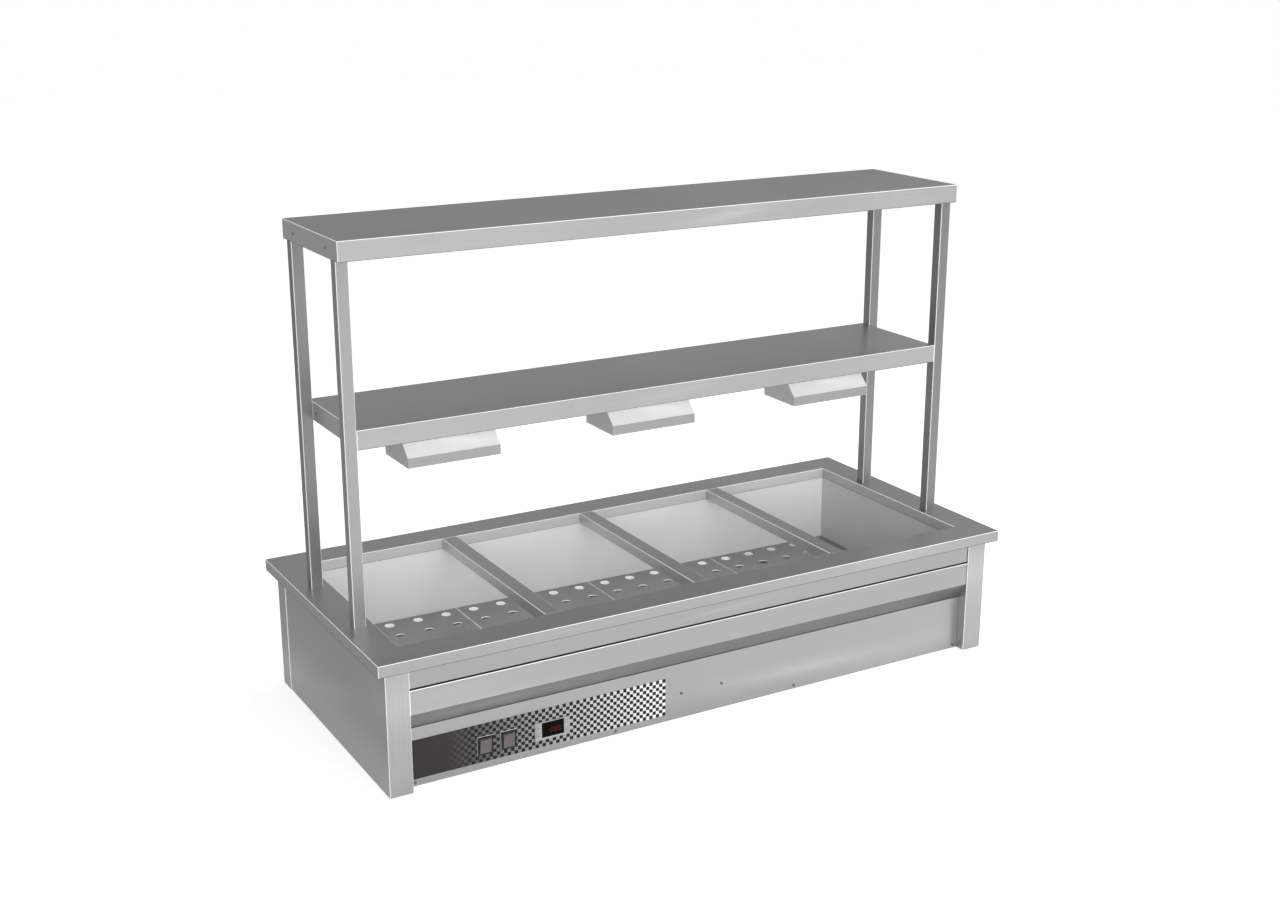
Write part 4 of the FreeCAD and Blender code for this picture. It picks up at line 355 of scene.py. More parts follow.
@dataclass(frozen=True)
class BrushedSteel:
    """Satin stainless sheet with fine brushing, painted shade by facing and painted highlights
    on its outer bends.

    Faces along slope_way, and upright faces inside the recess's half sizes, take the slope's
    painted tone and painted glow. Under the hem shadow level the sheet gets a painted shadow
    line, for its own fold's shade.
    """

    name: str
    tones: Tones = Tones()
    grain: Grain = Grain.ALONG_X
    roughness: float = 0.34
    metallic: float = 1.0
    bend_tone: float = 0.95
    bend_matt: float = 0.7
    bend_glow: float = 0.24
    bend_start: float = 0.99
    slope_way: tuple[float, float] = (0.0, 0.0)
    slope_matt: float = 0.0
    slope_glow: float = 0.0
    hem_shadow_level: float = 0.0
    glints: tuple[Glint, ...] = ()
    stripes: tuple[Stripe, ...] = ()
    recess: tuple[float, float] = (0.0, 0.0)
    straight: float = 0.9995
    hem_shade: float = 0.75
    streaked: float = 0.16
    clouded: float = 0.10

    def make(self) -> bpy.types.Material:
        """Build the material."""
        paint = Painter(self.name)
        streaks = paint.noise(paint.stretched(self.grain.value), 1.0, 3.0)
        fine = paint.noise(paint.stretched(tuple(4 * v for v in self.grain.value)), 1.0, 2.0)
        cloud = paint.noise(paint.place(), 4.0, 3.0)
        facing = paint.axes(paint.add("TexCoord").outputs["Normal"])
        place = paint.axes(paint.place())
        wide, deep, tall = (value.math("ABSOLUTE") for value in facing)
        z = facing[2]
        # Painted shade: each face's tone follows the way that it points.
        tone = self.painted_facing_shade(facing)
        metallic: Value | float = self.metallic
        square = wide.math("MAXIMUM", deep).math("MAXIMUM", tall)
        # Painted highlight on outer bends, found by the normal.
        bend = ((self.bend_start - square) * 30.0).limited()
        bend = bend * ((z + 0.2) * 5.0).limited()
        glow = self.glow(facing, place)
        across, along = self.slope_way
        # Sloped faces take a painted tone and a painted glow.
        if across:
            sloped = (deep * across + z * along) > self.straight
            bend = (bend - sloped).limited()
            tone = tone + (self.tones.slope - tone) * sloped
            metallic = metallic * (1.0 - sloped * self.slope_matt)
            glow = glow + sloped * self.slope_glow
        for stripe in self.stripes:
            bend = bend.math("MAXIMUM", stripe.strength(place, facing))
        half_x, half_y = self.recess
        # Upright faces inside the recess take a painted tone and a painted glow.
        if half_x:
            inside = (half_x > place[0].math("ABSOLUTE")) * (half_y > place[1].math("ABSOLUTE"))
            inside = inside * (0.9 > tall)
            tone = tone + (self.tones.slope * deep + wide * self.tones.side - tone) * inside
            metallic = metallic * (1.0 - inside * self.slope_matt)
            glow = glow + inside * deep * self.slope_glow
        # Painted highlight: bends are painted towards bend_tone.
        tone = tone + (self.bend_tone - tone) * bend
        metallic = metallic * (1.0 - bend * self.bend_matt)
        # Painted highlight streaks.
        for glint in self.glints:
            tone = tone * (glint.strength(place) + 1.0)
        # Painted shadow line under the hem shadow level.
        if self.hem_shadow_level:
            tone = tone * (1.0 - (self.hem_shadow_level > place[2]) * self.hem_shade)
        streaky = (streaks - 0.5) * self.streaked
        tone = tone * (streaky + (cloud - 0.5) * self.clouded + 1.0)
        rough = streaky + (cloud - 0.5) * 0.08 + self.roughness - bend * 0.08
        colour = paint.mixed(tone.limited(), grey(0.0), grey(1.0))
        paint.main(Base_Color=colour, Roughness=rough.limited(), Metallic=metallic)
        # Emission: painted glow and painted bend highlights.
        shine = paint.mixed((glow + bend * self.bend_glow).limited(), grey(0.0), grey(1.0))
        paint.main(Emission_Color=shine, Emission_Strength=1.0)
        paint.relief(streaks * 0.6 + fine * 0.4, 0.12, 0.00012)
        return paint.material

    def glow(self, facing: Values, place: Values) -> Value | float:
        """Give the painted light that the sheet adds; plain sheet adds none."""
        return 0.0

    def painted_facing_shade(self, facing: Values) -> Value:
        """Give the painted shade that follows from the way a face points.

        Args:
            facing: The three numbers of its normal.

        Returns:
            The tone.
        """
        x, y, z = facing
        rise = z.math("MAXIMUM", 0.0) ** 2.0
        tones = self.tones
        tone = rise * tones.up + (z * z - rise) * tones.under
        return tone + y * y * tones.front + x * x * tones.side


@dataclass(frozen=True)
class TankSteel(BrushedSteel):
    """The tank's sheet, with painted light on its walls and floor, for the light that they pass
    on.

    The painted light on the floor is weaker beyond lit_end, at the drain.
    """

    wall: float = 0.06
    floor: float = 0.10
    floor_lit: float = 0.48
    lit_end: float = 0.455
    fade: float = 1.0 / 66.0
    floor_z: float = 0.098

    def glow(self, facing: Values, place: Values) -> Value | float:
        """Give the painted light of the walls and the floor.

        Args:
            facing: The three numbers of the face's normal.
            place: The place's three numbers.

        Returns:
            The added light.
        """
        x, _, z = place
        lit = ((self.lit_end - x) / self.fade).limited()
        low = facing[2].limited() * (self.floor_z > z)
        return facing[1] * facing[1] * self.wall + low * (lit * self.floor_lit + self.floor)


@dataclass(frozen=True)
class Polished:
    """Bright or dull plain metal, with fine scuffs."""

    name: str
    colour: Triple
    roughness: float = 0.2
    scuffs: float = 900.0

    def make(self) -> bpy.types.Material:
        """Build the material."""
        paint = Painter(self.name)
        scuff = paint.noise(paint.place(), self.scuffs, 2.0)
        cloud = paint.noise(paint.place(), 30.0, 2.0)
        dull = tuple(v * 0.82 for v in self.colour)
        colour = paint.mixed((cloud * 0.7 + scuff * 0.3).limited(), self.colour, dull)
        rough = (scuff - 0.5) * 0.2 + (cloud - 0.5) * 0.1 + self.roughness
        paint.main(Base_Color=colour, Roughness=rough.limited(), Metallic=1.0)
        paint.relief(scuff, 0.08, 0.0001)
        return paint.material


@dataclass(frozen=True)
class Moulded:
    """Moulded plastic or ceramic with a fine grain, and painted highlights on its flanks where
    these are set.
    """

    name: str
    colour: Triple
    roughness: float = 0.4
    pebble: float = 2600.0
    depth: float = 0.00006
    sheen: float = 0.5
    flank_highlight: float = 0.0

    def make(self) -> bpy.types.Material:
        """Build the material."""
        paint = Painter(self.name)
        pebbles = paint.noise(paint.place(), self.pebble, 2.0)
        cloud = paint.noise(paint.place(), 60.0, 2.0)
        light = tuple(min(1.0, v * 1.12) for v in self.colour)
        dark = tuple(v * 0.88 for v in self.colour)
        colour = paint.mixed((cloud * 0.7 + pebbles * 0.3).limited(), dark, light)
        # Painted highlight on the flanks.
        if self.flank_highlight:
            x, _, z = paint.axes(paint.add("TexCoord").outputs["Normal"])
            flank_highlight = (x.math("ABSOLUTE").math("MAXIMUM", z) > 0.6) * 1.0
            colour = paint.mixed(flank_highlight, colour, grey(self.flank_highlight))
        rough = (pebbles - 0.5) * 0.15 + (cloud - 0.5) * 0.1 + self.roughness
        paint.main(Base_Color=colour, Roughness=rough.limited(), Specular_IOR_Level=self.sheen)
        paint.relief(pebbles, 0.25, self.depth)
        return paint.material


@dataclass(frozen=True)
class ChequerPrint:
    """Printed film: dark at its left end, with a chequer that brightens to the right."""

    name: str
    left: float
    foot: float
    length: float
    cell_x: float
    cell_z: float
    ink: Triple = (0.014, 0.013, 0.013)
    dark: Triple = (0.038, 0.034, 0.034)
    bright: Triple = (0.90, 0.90, 0.91)

    def make(self) -> bpy.types.Material:
        """Build the material."""
        paint = Painter(self.name)
        x, _, z = paint.axes(paint.place())
        cells = paint.add("CombineXYZ")
        paint.feed(cells.inputs[0], (x - self.left) / self.cell_x)
        paint.feed(cells.inputs[1], 0.5)
        paint.feed(cells.inputs[2], (z - self.foot) / self.cell_z)
        chequer = paint.add("TexChecker", Vector=cells.outputs[0], Scale=1.0)
        squares = Value(paint.tree, chequer.outputs["Fac"])
        along = (x - self.left) / self.length
        rise = ((along - 0.13) / 0.80).limited() ** 1.3
        ground = paint.mixed(rise, self.dark, self.bright)
        colour = paint.mixed(squares * ((along - 0.12) * 9.0).limited(), ground, self.ink)
        film = paint.noise(paint.place(), 700.0, 2.0)
        cloud = paint.noise(paint.place(), 25.0, 2.0)
        rough = (film - 0.5) * 0.1 + (cloud - 0.5) * 0.06 + 0.36
        paint.main(Base_Color=colour, Roughness=rough.limited(), Specular_IOR_Level=0.25)
        paint.relief(film, 0.06, 0.00004)
        return paint.material


@dataclass(frozen=True)
class Glowing:
    """A lit segment or lens behind smoked plastic."""

    name: str
    colour: Triple
    strength: float
    roughness: float = 0.25

    def make(self) -> bpy.types.Material:
        """Build the material."""
        paint = Painter(self.name)
        sparkle = paint.noise(paint.place(), 1800.0, 1.0)
        dim = tuple(v * 0.55 for v in self.colour)
        colour = paint.mixed(sparkle, dim, self.colour)
        rough = (sparkle - 0.5) * 0.1 + self.roughness
        paint.main(Base_Color=colour, Roughness=rough.limited(), Emission_Color=colour)
        paint.main(Emission_Strength=self.strength)
        return paint.material


@dataclass(frozen=True)
class Quartz:
    """Clear fused quartz with faint draw lines."""

    name: str

    def make(self) -> bpy.types.Material:
        """Build the material."""
        paint = Painter(self.name)
        lines = paint.noise(paint.stretched((12.0, 900.0, 900.0)), 1.0, 2.0)
        colour = paint.mixed(lines, (0.93, 0.93, 0.95), (1.0, 1.0, 1.0))
        paint.main(Base_Color=colour, Roughness=(lines * 0.08 + 0.02).limited())
        paint.main(Transmission_Weight=0.9, IOR=1.46)
        return paint.material


@dataclass(frozen=True)
class Sheathed:
    """Heat-tinted alloy sheath of a heating element."""

    name: str
    cold: Triple = (0.58, 0.57, 0.55)
    tinted: Triple = (0.38, 0.36, 0.34)

    def make(self) -> bpy.types.Material:
        """Build the material."""
        paint = Painter(self.name)
        patches = paint.noise(paint.place(), 14.0, 4.0)
        fine = paint.noise(paint.place(), 900.0, 2.0)
        colour = paint.mixed((patches * 1.6 - 0.3).limited(), self.cold, self.tinted)
        rough = (patches - 0.5) * 0.25 + (fine - 0.5) * 0.15 + 0.42
        paint.main(Base_Color=colour, Roughness=rough.limited(), Metallic=0.35)
        paint.relief(fine, 0.15, 0.00008)
        return paint.material


@dataclass(frozen=True)
class Braid:
    """Woven sleeve or glass cloth, drawn as two crossed waves."""

    name: str
    colour: Triple
    pitch: float
    depth: float = 0.0003
    roughness: float = 0.75

    def make(self) -> bpy.types.Material:
        """Build the material."""
        paint = Painter(self.name)
        x, y, z = paint.axes(paint.place())
        turn = 2 * math.pi / self.pitch
        one = ((x + y + z) * turn).math("SINE")
        two = ((x - y + z * 0.7) * turn).math("SINE")
        weave = ((one * two) * 0.5 + 0.5).limited()
        dirt = paint.noise(paint.place(), 18.0, 3.0)
        dark = tuple(v * 0.6 for v in self.colour)
        colour = paint.mixed((weave * 0.7 + dirt * 0.3).limited(), dark, self.colour)
        rough = (dirt - 0.5) * 0.2 + self.roughness
        paint.main(Base_Color=colour, Roughness=rough.limited())
        paint.relief(weave, 0.5, self.depth)
        return paint.material


class Palette:
    """All the finishes, made once and kept by name."""

    def __init__(self) -> None:
        """Make every finish."""
        # Steel finishes: their tones paint shade by facing, their glints and stripes are painted
        # highlights, and their glows are painted light.
        finishes = (
            # Deck: painted light inside the well's recess, a painted shadow line under the hem
            # and a painted highlight streak.
            BrushedSteel(
                "deck_steel",
                Tones(up=0.54, front=0.50, side=0.50, slope=0.80),
                slope_matt=0.6,
                slope_glow=0.07,
                recess=(0.6825, 0.2575),
                hem_shadow_level=0.2629,
                glints=(Glint((0.47, 0.0, 0.276), (0.16, 9.0, 0.02), gain=0.16),),
            ),
            # Shelves: a painted shadow line under the hem and painted highlight streaks.
            BrushedSteel(
                "high_shelf_steel",
                Tones(up=0.45, front=0.60, side=0.62),
                hem_shadow_level=1.0119,
                glints=(
                    Glint((0.12, 0.0, 1.03), (0.13, 9.0, 0.02), (0.12, 0.0, 0.0), 0.2),
                    Glint((0.65, -0.152, 1.03), (0.35, 0.1, 0.04), gain=0.09),
                ),
            ),
            BrushedSteel(
                "low_shelf_steel",
                Tones(up=0.55, front=0.53, side=0.58),
                hem_shadow_level=0.6464,
                glints=(
                    Glint((0.0, 0.0, 0.665), (0.13, 9.0, 0.02), (0.12, 0.0, 0.0), 0.12),
                    Glint((0.65, -0.134, 0.665), (0.35, 0.1, 0.04), gain=0.11),
                ),
            ),
            BrushedSteel(
                "band_steel",
                Tones(front=0.48),
                glints=(Glint((0.03, 0.0, 0.236), (0.13, 9.0, 0.006), (0.04, 0.0, 0.0), 0.12),),
                stripes=(Stripe(0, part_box("upper_front_band")[0].x + 0.0006, 1),),
            ),
            # Lower band: painted shade on its slope, with painted highlight streaks.
            BrushedSteel(
                "sloped_band_steel",
                Tones(front=0.50, slope=0.30),
                slope_way=(0.8554, -0.518),
                glints=(
                    Glint((-0.52, 0.0, 0.144), (0.24, 9.0, 0.02), gain=0.48),
                    Glint((-0.62, 0.0, 0.19), (0.22, 9.0, 0.03), gain=0.14),
                ),
                stripes=(
                    Stripe(0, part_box("lower_front_band")[0].x + 0.0006, 1),
                    Stripe(2, 0.2119, 1),
                ),
            ),
            BrushedSteel(
                "panel_steel",
                Tones(front=0.51),
                glints=(
                    Glint((0.24, 0.0, 0.045), (0.26, 9.0, 0.022), (-0.02, 0.0, 0.0), 0.22),
                    Glint((0.52, 0.0, 0.02), (0.26, 9.0, 0.05), gain=0.15),
                ),
            ),
            BrushedSteel(
                "side_steel",
                Tones(front=0.53, side=0.49),
                Grain.ALONG_Z,
                glints=(
                    Glint((0.0, -0.30, 0.19), (9.0, 0.12, 0.07), gain=0.16),
                    Glint((0.0, 0.0, 0.105), (9.0, 0.26, 0.03), (0.0, -0.28, 0.0), 0.13),
                ),
            ),
            # Rear corners: painted highlight lines along the edge.
            BrushedSteel(
                "corner_steel",
                Tones(front=0.53, side=0.49),
                Grain.ALONG_Z,
                stripes=(
                    Stripe(1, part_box("rear_corner_left")[0].y + 0.0003, 0, 0.0005),
                    Stripe(1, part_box("rear_corner_left")[0].y, 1, 0.0005),
                ),
            ),
            # Lit and shaded copies of one post steel: the far posts get painted shade.
            BrushedSteel(
                "near_post_lit_steel",
                Tones(front=0.46, side=0.37),
                Grain.ALONG_Z,
                roughness=0.38,
                metallic=0.9,
                bend_start=0.93,
            ),
            BrushedSteel(
                "far_post_shaded_steel",
                Tones(front=0.33, side=0.29),
                Grain.ALONG_Z,
                roughness=0.38,
                metallic=0.9,
                bend_start=0.93,
            ),
            # Tank: painted shade by facing, and painted light on its walls and floor.
            TankSteel(
                "tank_steel", Tones(up=0.6, front=1.0, side=0.70), roughness=0.55, metallic=0.1
            ),
            *(self.plate_steel(index) for index in (1, 2, 3, 4)),
            BrushedSteel("bar_steel", Tones(up=0.58, side=0.55), Grain.ALONG_Y, roughness=0.36),
            # Lamp hoods: painted glow on the slopes and painted highlight streaks.
            BrushedSteel(
                "lamp_steel",
                Tones(up=0.6, front=0.47, side=0.66, slope=0.80),
                roughness=0.4,
                metallic=0.6,
                bend_glow=0.1,
                slope_way=(0.7071, 0.7071),
                slope_matt=1.0,
                slope_glow=0.31,
                glints=tuple(
                    Glint((x, 0.0, 0.606), (0.07, 9.0, 0.007), (-0.12, 0.0, 0.0), 0.35)
                    for x in (-0.4445, 0.02, 0.4845)
                ),
            ),
            BrushedSteel(
                "inner_steel",
                Tones(up=0.5, side=0.5),
                Grain.ALONG_Y,
                roughness=0.45,
                bend_glow=0.0,
            ),
            Polished("bright_aluminium", (0.90, 0.91, 0.92), roughness=0.16),
            Polished("chromed_wire", (0.78, 0.79, 0.80), roughness=0.14),
            Polished("zinc_steel", (0.60, 0.61, 0.60), roughness=0.3),
            Polished("fixing_steel", (0.30, 0.32, 0.33), roughness=0.36),
            Polished("nickel_brass", (0.62, 0.55, 0.42), roughness=0.3),
            Sheathed("element_sheath"),
            Quartz("quartz_glass"),
            Moulded("ceramic_white", (0.72, 0.70, 0.66), roughness=0.55, depth=0.0001),
            # Bezels: painted highlight on their flanks.
            Moulded("bezel_black", (0.022, 0.021, 0.021), roughness=0.3, sheen=0.25, flank_highlight=1.0),
            Moulded("rocker_grey", (0.135, 0.134, 0.134), roughness=0.38),
            Moulded("controller_grey", (0.43, 0.43, 0.44), roughness=0.34),
            Moulded("key_grey", (0.42, 0.42, 0.43), roughness=0.3),
            Moulded("key_mark_dark", (0.05, 0.05, 0.055), roughness=0.5),
            Moulded("window_smoke", (0.003, 0.002, 0.002), 0.3, depth=0.00001, sheen=0.06),
            Moulded("terminal_grey", (0.30, 0.31, 0.32), roughness=0.5),
            Moulded("gland_black", (0.03, 0.03, 0.032), roughness=0.42),
            Moulded("grip_red", (0.42, 0.02, 0.015), roughness=0.38),
            Glowing("readout_red", (0.17, 0.006, 0.008), 0.2),
            Glowing("lens_red", (0.62, 0.025, 0.03), 0.35),
            Braid("cable_sleeve", (0.06, 0.06, 0.065), pitch=0.003),
            Braid("glass_cloth", (0.66, 0.65, 0.60), pitch=0.004),
            ChequerPrint(
                "panel_print",
                left=-0.6812,
                foot=0.015,
                length=0.577,
                cell_x=0.577 / 74,
                cell_z=0.0825 / 11,
            ),
        )
        self.made = {finish.name: finish.make() for finish in finishes}

    @staticmethod
    def plate_steel(index: int) -> BrushedSteel:
        """Give a plate's finish, with a painted highlight on the left edge of all but the first
        plate.

        Args:
            index: The plate's number, from the left.

        Returns:
            The finish.
        """
        low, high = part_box(f"perforated_plate_{index}")
        later = index > 1
        # Painted shade by facing, painted highlight on the joint edge, and painted light on the
        # upright inner faces.
        return BrushedSteel(
            f"plate_steel_{index}",
            Tones(up=0.36, slope=0.7),
            Grain.ALONG_Y,
            roughness=0.4,
            bend_glow=0.12 if later else 0.0,
            recess=(1.0, high.y - 0.0004),
            slope_matt=0.7,
            slope_glow=0.3,
            stripes=(Stripe(0, low.x + 0.0008, 2),) if later else (),
        )

    def dress(self, piece: bpy.types.Object, finish: str) -> None:
        """Give a piece one finish all over.

        Args:
            piece: The object.
            finish: The finish's name.
        """
        material = self.made[finish]
        if not piece.material_slots:
            piece.data.materials.append(material)
        for slot in piece.material_slots:
            slot.material = material
        LOG.info("%s: %s", piece.name, finish)


# Modelling tools
class Bench:
    """Blender's own modelling tools, used one piece at a time."""

    @staticmethod
    def only(*pieces: bpy.types.Object) -> None:
        """Select these pieces alone, the first as the active one."""
        bpy.ops.object.select_all(action="DESELECT")
        for piece in pieces:
            piece.select_set(True)
        bpy.context.view_layer.objects.active = pieces[0]

    @staticmethod
    def named(name: str) -> bpy.types.Object:
        """Name the primitive that was just added.

        Args:
            name: The piece's name.

        Returns:
            The piece.
        """
        piece = bpy.context.active_object
        piece.name = name
        piece.data.name = name
        return piece

    @classmethod
    def rod(
        cls, name: str, radius: float, low: float, high: float, sides: int = 24
    ) -> bpy.types.Object:
        """Add an upright cylinder or prism.

        Args:
            name: The piece's name.
            radius: Its radius.
            low: The level of its lower end.
            high: The level of its upper end.
            sides: The number of its sides.

        Returns:
            The piece.
        """
        bpy.ops.object.select_all(action="DESELECT")
        middle = (0.0, 0.0, (low + high) / 2)
        bpy.ops.mesh.primitive_cylinder_add(
            vertices=sides, radius=radius, depth=high - low, location=middle
        )
        return cls.settle(cls.named(name))

    @classmethod
    def block(cls, name: str, low: Triple, high: Triple) -> bpy.types.Object:
        """Add a box between two corners.

        Args:
            name: The piece's name.
            low: Its lowest corner.
            high: Its highest corner.

        Returns:
            The piece.
        """
        bpy.ops.object.select_all(action="DESELECT")
        middle = [(a + b) / 2 for a, b in zip(low, high)]
        size = [b - a for a, b in zip(low, high)]
        bpy.ops.mesh.primitive_cube_add(size=1.0, location=middle, scale=size)
        return cls.settle(cls.named(name))

    @classmethod
    def settle(cls, piece: bpy.types.Object) -> bpy.types.Object:
        """Move a piece's place, turn and size into its mesh."""
        cls.only(piece)
        bpy.ops.object.transform_apply(location=True, rotation=True, scale=True)
        return piece

    @classmethod
    def work(
        cls,
        piece: bpy.types.Object,
        kind: str,
        test: Callable[[object], bool],
        tool: Callable[[], object],
    ) -> None:
        """Use an edit-mode tool on the faces or edges that pass a test.

        Args:
            piece: The piece to work on.
            kind: FACE or EDGE.
            test: Tells whether a face or edge is taken.
            tool: The tool to run.
        """
        cls.only(piece)
        bpy.ops.object.mode_set(mode="EDIT")
        bpy.ops.mesh.select_mode(type=kind)
        bpy.ops.mesh.select_all(action="DESELECT")
        mesh = bmesh.from_edit_mesh(piece.data)
        for element in mesh.faces if kind == "FACE" else mesh.edges:
            if test(element):
                element.select_set(True)
        bmesh.update_edit_mesh(piece.data)
        tool()
        bpy.ops.object.mode_set(mode="OBJECT")

    @classmethod
    def bevel(
        cls, piece: bpy.types.Object, test: Callable[[object], bool], width: float, segments: int
    ) -> None:
        """Bevel the edges that pass a test.

        Args:
            piece: The piece to work on.
            test: Tells whether an edge is taken.
            width: The bevel's width.
            segments: The number of its faces.
        """

        def run() -> None:
            """Bevel the chosen edges."""
            bpy.ops.mesh.bevel(offset=width, segments=segments, affect="EDGES")

        cls.work(piece, "EDGE", test, run)

    @classmethod
    def finish(cls, piece: bpy.types.Object, modifier: bpy.types.Modifier) -> None:
        """Apply one modifier of a piece."""
        cls.only(piece)
        bpy.ops.object.modifier_apply(modifier=modifier.name)

    @classmethod
    def cut(cls, piece: bpy.types.Object, tool: bpy.types.Object) -> None:
        """Cut one piece out of another and discard the tool.

        Args:
            piece: The piece that is cut.
            tool: The piece that cuts.
        """
        modifier = piece.modifiers.new("cut", "BOOLEAN")
        modifier.operation = "DIFFERENCE"
        modifier.solver = "EXACT"
        modifier.object = tool
        cls.finish(piece, modifier)
        bpy.data.objects.remove(tool)

    @classmethod
    def copy(cls, piece: bpy.types.Object, where: Matrix) -> bpy.types.Object:
        """Copy a piece with its own mesh to a new place.

        Args:
            piece: The piece to copy.
            where: The placing of the copy.

        Returns:
            The copy, settled.
        """
        cls.only(piece)
        bpy.ops.object.duplicate()
        twin = bpy.context.active_object
        twin.matrix_world = where
        return cls.settle(twin)

    @classmethod
    def joined(cls, name: str, pieces: Sequence[bpy.types.Object]) -> bpy.types.Object:
        """Join separate pieces into one object.

        Args:
            name: The joined piece's name.
            pieces: The pieces, used up by this.

        Returns:
            The joined piece.
        """
        cls.only(*pieces)
        if len(pieces) > 1:
            bpy.ops.object.join()
        piece = bpy.context.active_object
        piece.name = name
        piece.data.name = name
        return piece

    @classmethod
    def smooth(cls, piece: bpy.types.Object, degrees: float = 35.0) -> bpy.types.Object:
        """Shade smoothly over shallow edges."""
        cls.only(piece)
        bpy.ops.object.shade_smooth_by_angle(angle=math.radians(degrees))
        return piece

    @classmethod
    def repeat(
        cls, name: str, model: bpy.types.Object, places: Sequence[Matrix]
    ) -> bpy.types.Object:
        """Copy a model to several places, join the copies and drop the model.

        Args:
            name: The joined piece's name.
            model: The piece that is repeated.
            places: The placings.

        Returns:
            The joined piece.
        """
        copies = [cls.copy(model, place) for place in places]
        bpy.data.objects.remove(model)
        return cls.joined(name, copies)


def level(z: float) -> Callable[[bmesh.types.BMFace], bool]:
    """Make a test for faces that lie at a level.

    Args:
        z: The level.

    Returns:
        The test.
    """
    return lambda face: abs(face.calc_center_median().z - z) < 1e-6 and abs(face.normal.z) > 0.9


def rim(z: float) -> Callable[[bmesh.types.BMEdge], bool]:
    """Make a test for edges that lie at a level.

    Args:
        z: The level.

    Returns:
        The test.
    """
    return lambda edge: all(abs(vertex.co.z - z) < 1e-6 for vertex in edge.verts)


# Sub-assemblies
class SubAssembly:
    """A part of the machine that dresses its CAD nodes and adds fine pieces."""

    finishes: dict[str, str] = {}

    def __init__(self, frame: dict, palette: Palette) -> None:
        """Keep the frame and the finishes.

        Args:
            palette: The finishes.
        """
        self.frame = frame
        self.palette = palette

    def dress(self) -> None:
        """Give the sub-assembly's CAD nodes their finishes."""
        for node, finish in self.finishes.items():
            self.palette.dress(self.frame["nodes"][node], finish)

    def mount(
        self, piece: bpy.types.Object, finish: str, slot: str, body: str = "body"
    ) -> bpy.types.Object:
        """Finish a new piece and let it ride on its body.

        Args:
            piece: The new piece.
            finish: Its finish.
            slot: The record's material slot; not used.
            body: The body that it moves with.

        Returns:
            The piece.
        """
        self.palette.dress(piece, finish)
        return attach(piece, body)

    def build(self) -> None:
        """Build the fine pieces; most sub-assemblies have some."""

    def make(self) -> None:
        """Dress and build."""
        self.dress()
        self.build()


class Casing(SubAssembly):
    """Deck, side sheets, bands, control panel, back and base."""

    finishes = {
        "top_deck": "deck_steel",
        "side_panel_left": "side_steel",
        "side_panel_right": "side_steel",
        "rear_corner_left": "corner_steel",
        "rear_corner_right": "corner_steel",
        "back_panel": "panel_steel",
        "upper_front_band": "band_steel",
        "lower_front_band": "sloped_band_steel",
        "control_panel": "panel_steel",
        "base_pan": "inner_steel",
        "decal_plate": "panel_print",
    }


class Well(SubAssembly):
    """Tank, lift-out plates and bars, elements and probe."""

    finishes = {
        "tank": "tank_steel",
        "drain_strainer": "zinc_steel",
        "heating_element_front": "element_sheath",
        "heating_element_rear": "element_sheath",
        "element_fixings": "nickel_brass",
        "tank_probe": "zinc_steel",
        "limit_thermostat": "zinc_steel",
        **{f"divider_bar_{index}": "bar_steel" for index in (1, 2, 3)},
        **{f"perforated_plate_{index}": f"plate_steel_{index}" for index in (1, 2, 3, 4)},
    }


class Gantry(SubAssembly):
    """Posts, their rails and anchors, and the two shelves."""

    finishes = {
        "post_front_left": "near_post_lit_steel",
        "post_front_right": "far_post_shaded_steel",
        "post_rear_left": "far_post_shaded_steel",
        "post_rear_right": "far_post_shaded_steel",
        "post_top_rails": "inner_steel",
        "post_anchors": "zinc_steel",
        "upper_shelf": "high_shelf_steel",
        "lower_shelf": "low_shelf_steel",
        "shelf_end_channels": "inner_steel",
    }


@dataclass
class LampSizes:
    """Sizes of the quartz lamps, in metres."""

    pitch: float = 464.5 * MM
    axis_level: float = 594.3 * MM
    length: float = 118 * MM
    neck_length: float = 11 * MM
    tube: float = 4.95 * MM
    tube_wall: float = 0.7 * MM
    neck: float = 3.3 * MM
    coil: float = 1.7 * MM
    coil_wire: float = 0.28 * MM
    coil_step: float = 2.6 * MM
    coil_margin: float = 6 * MM


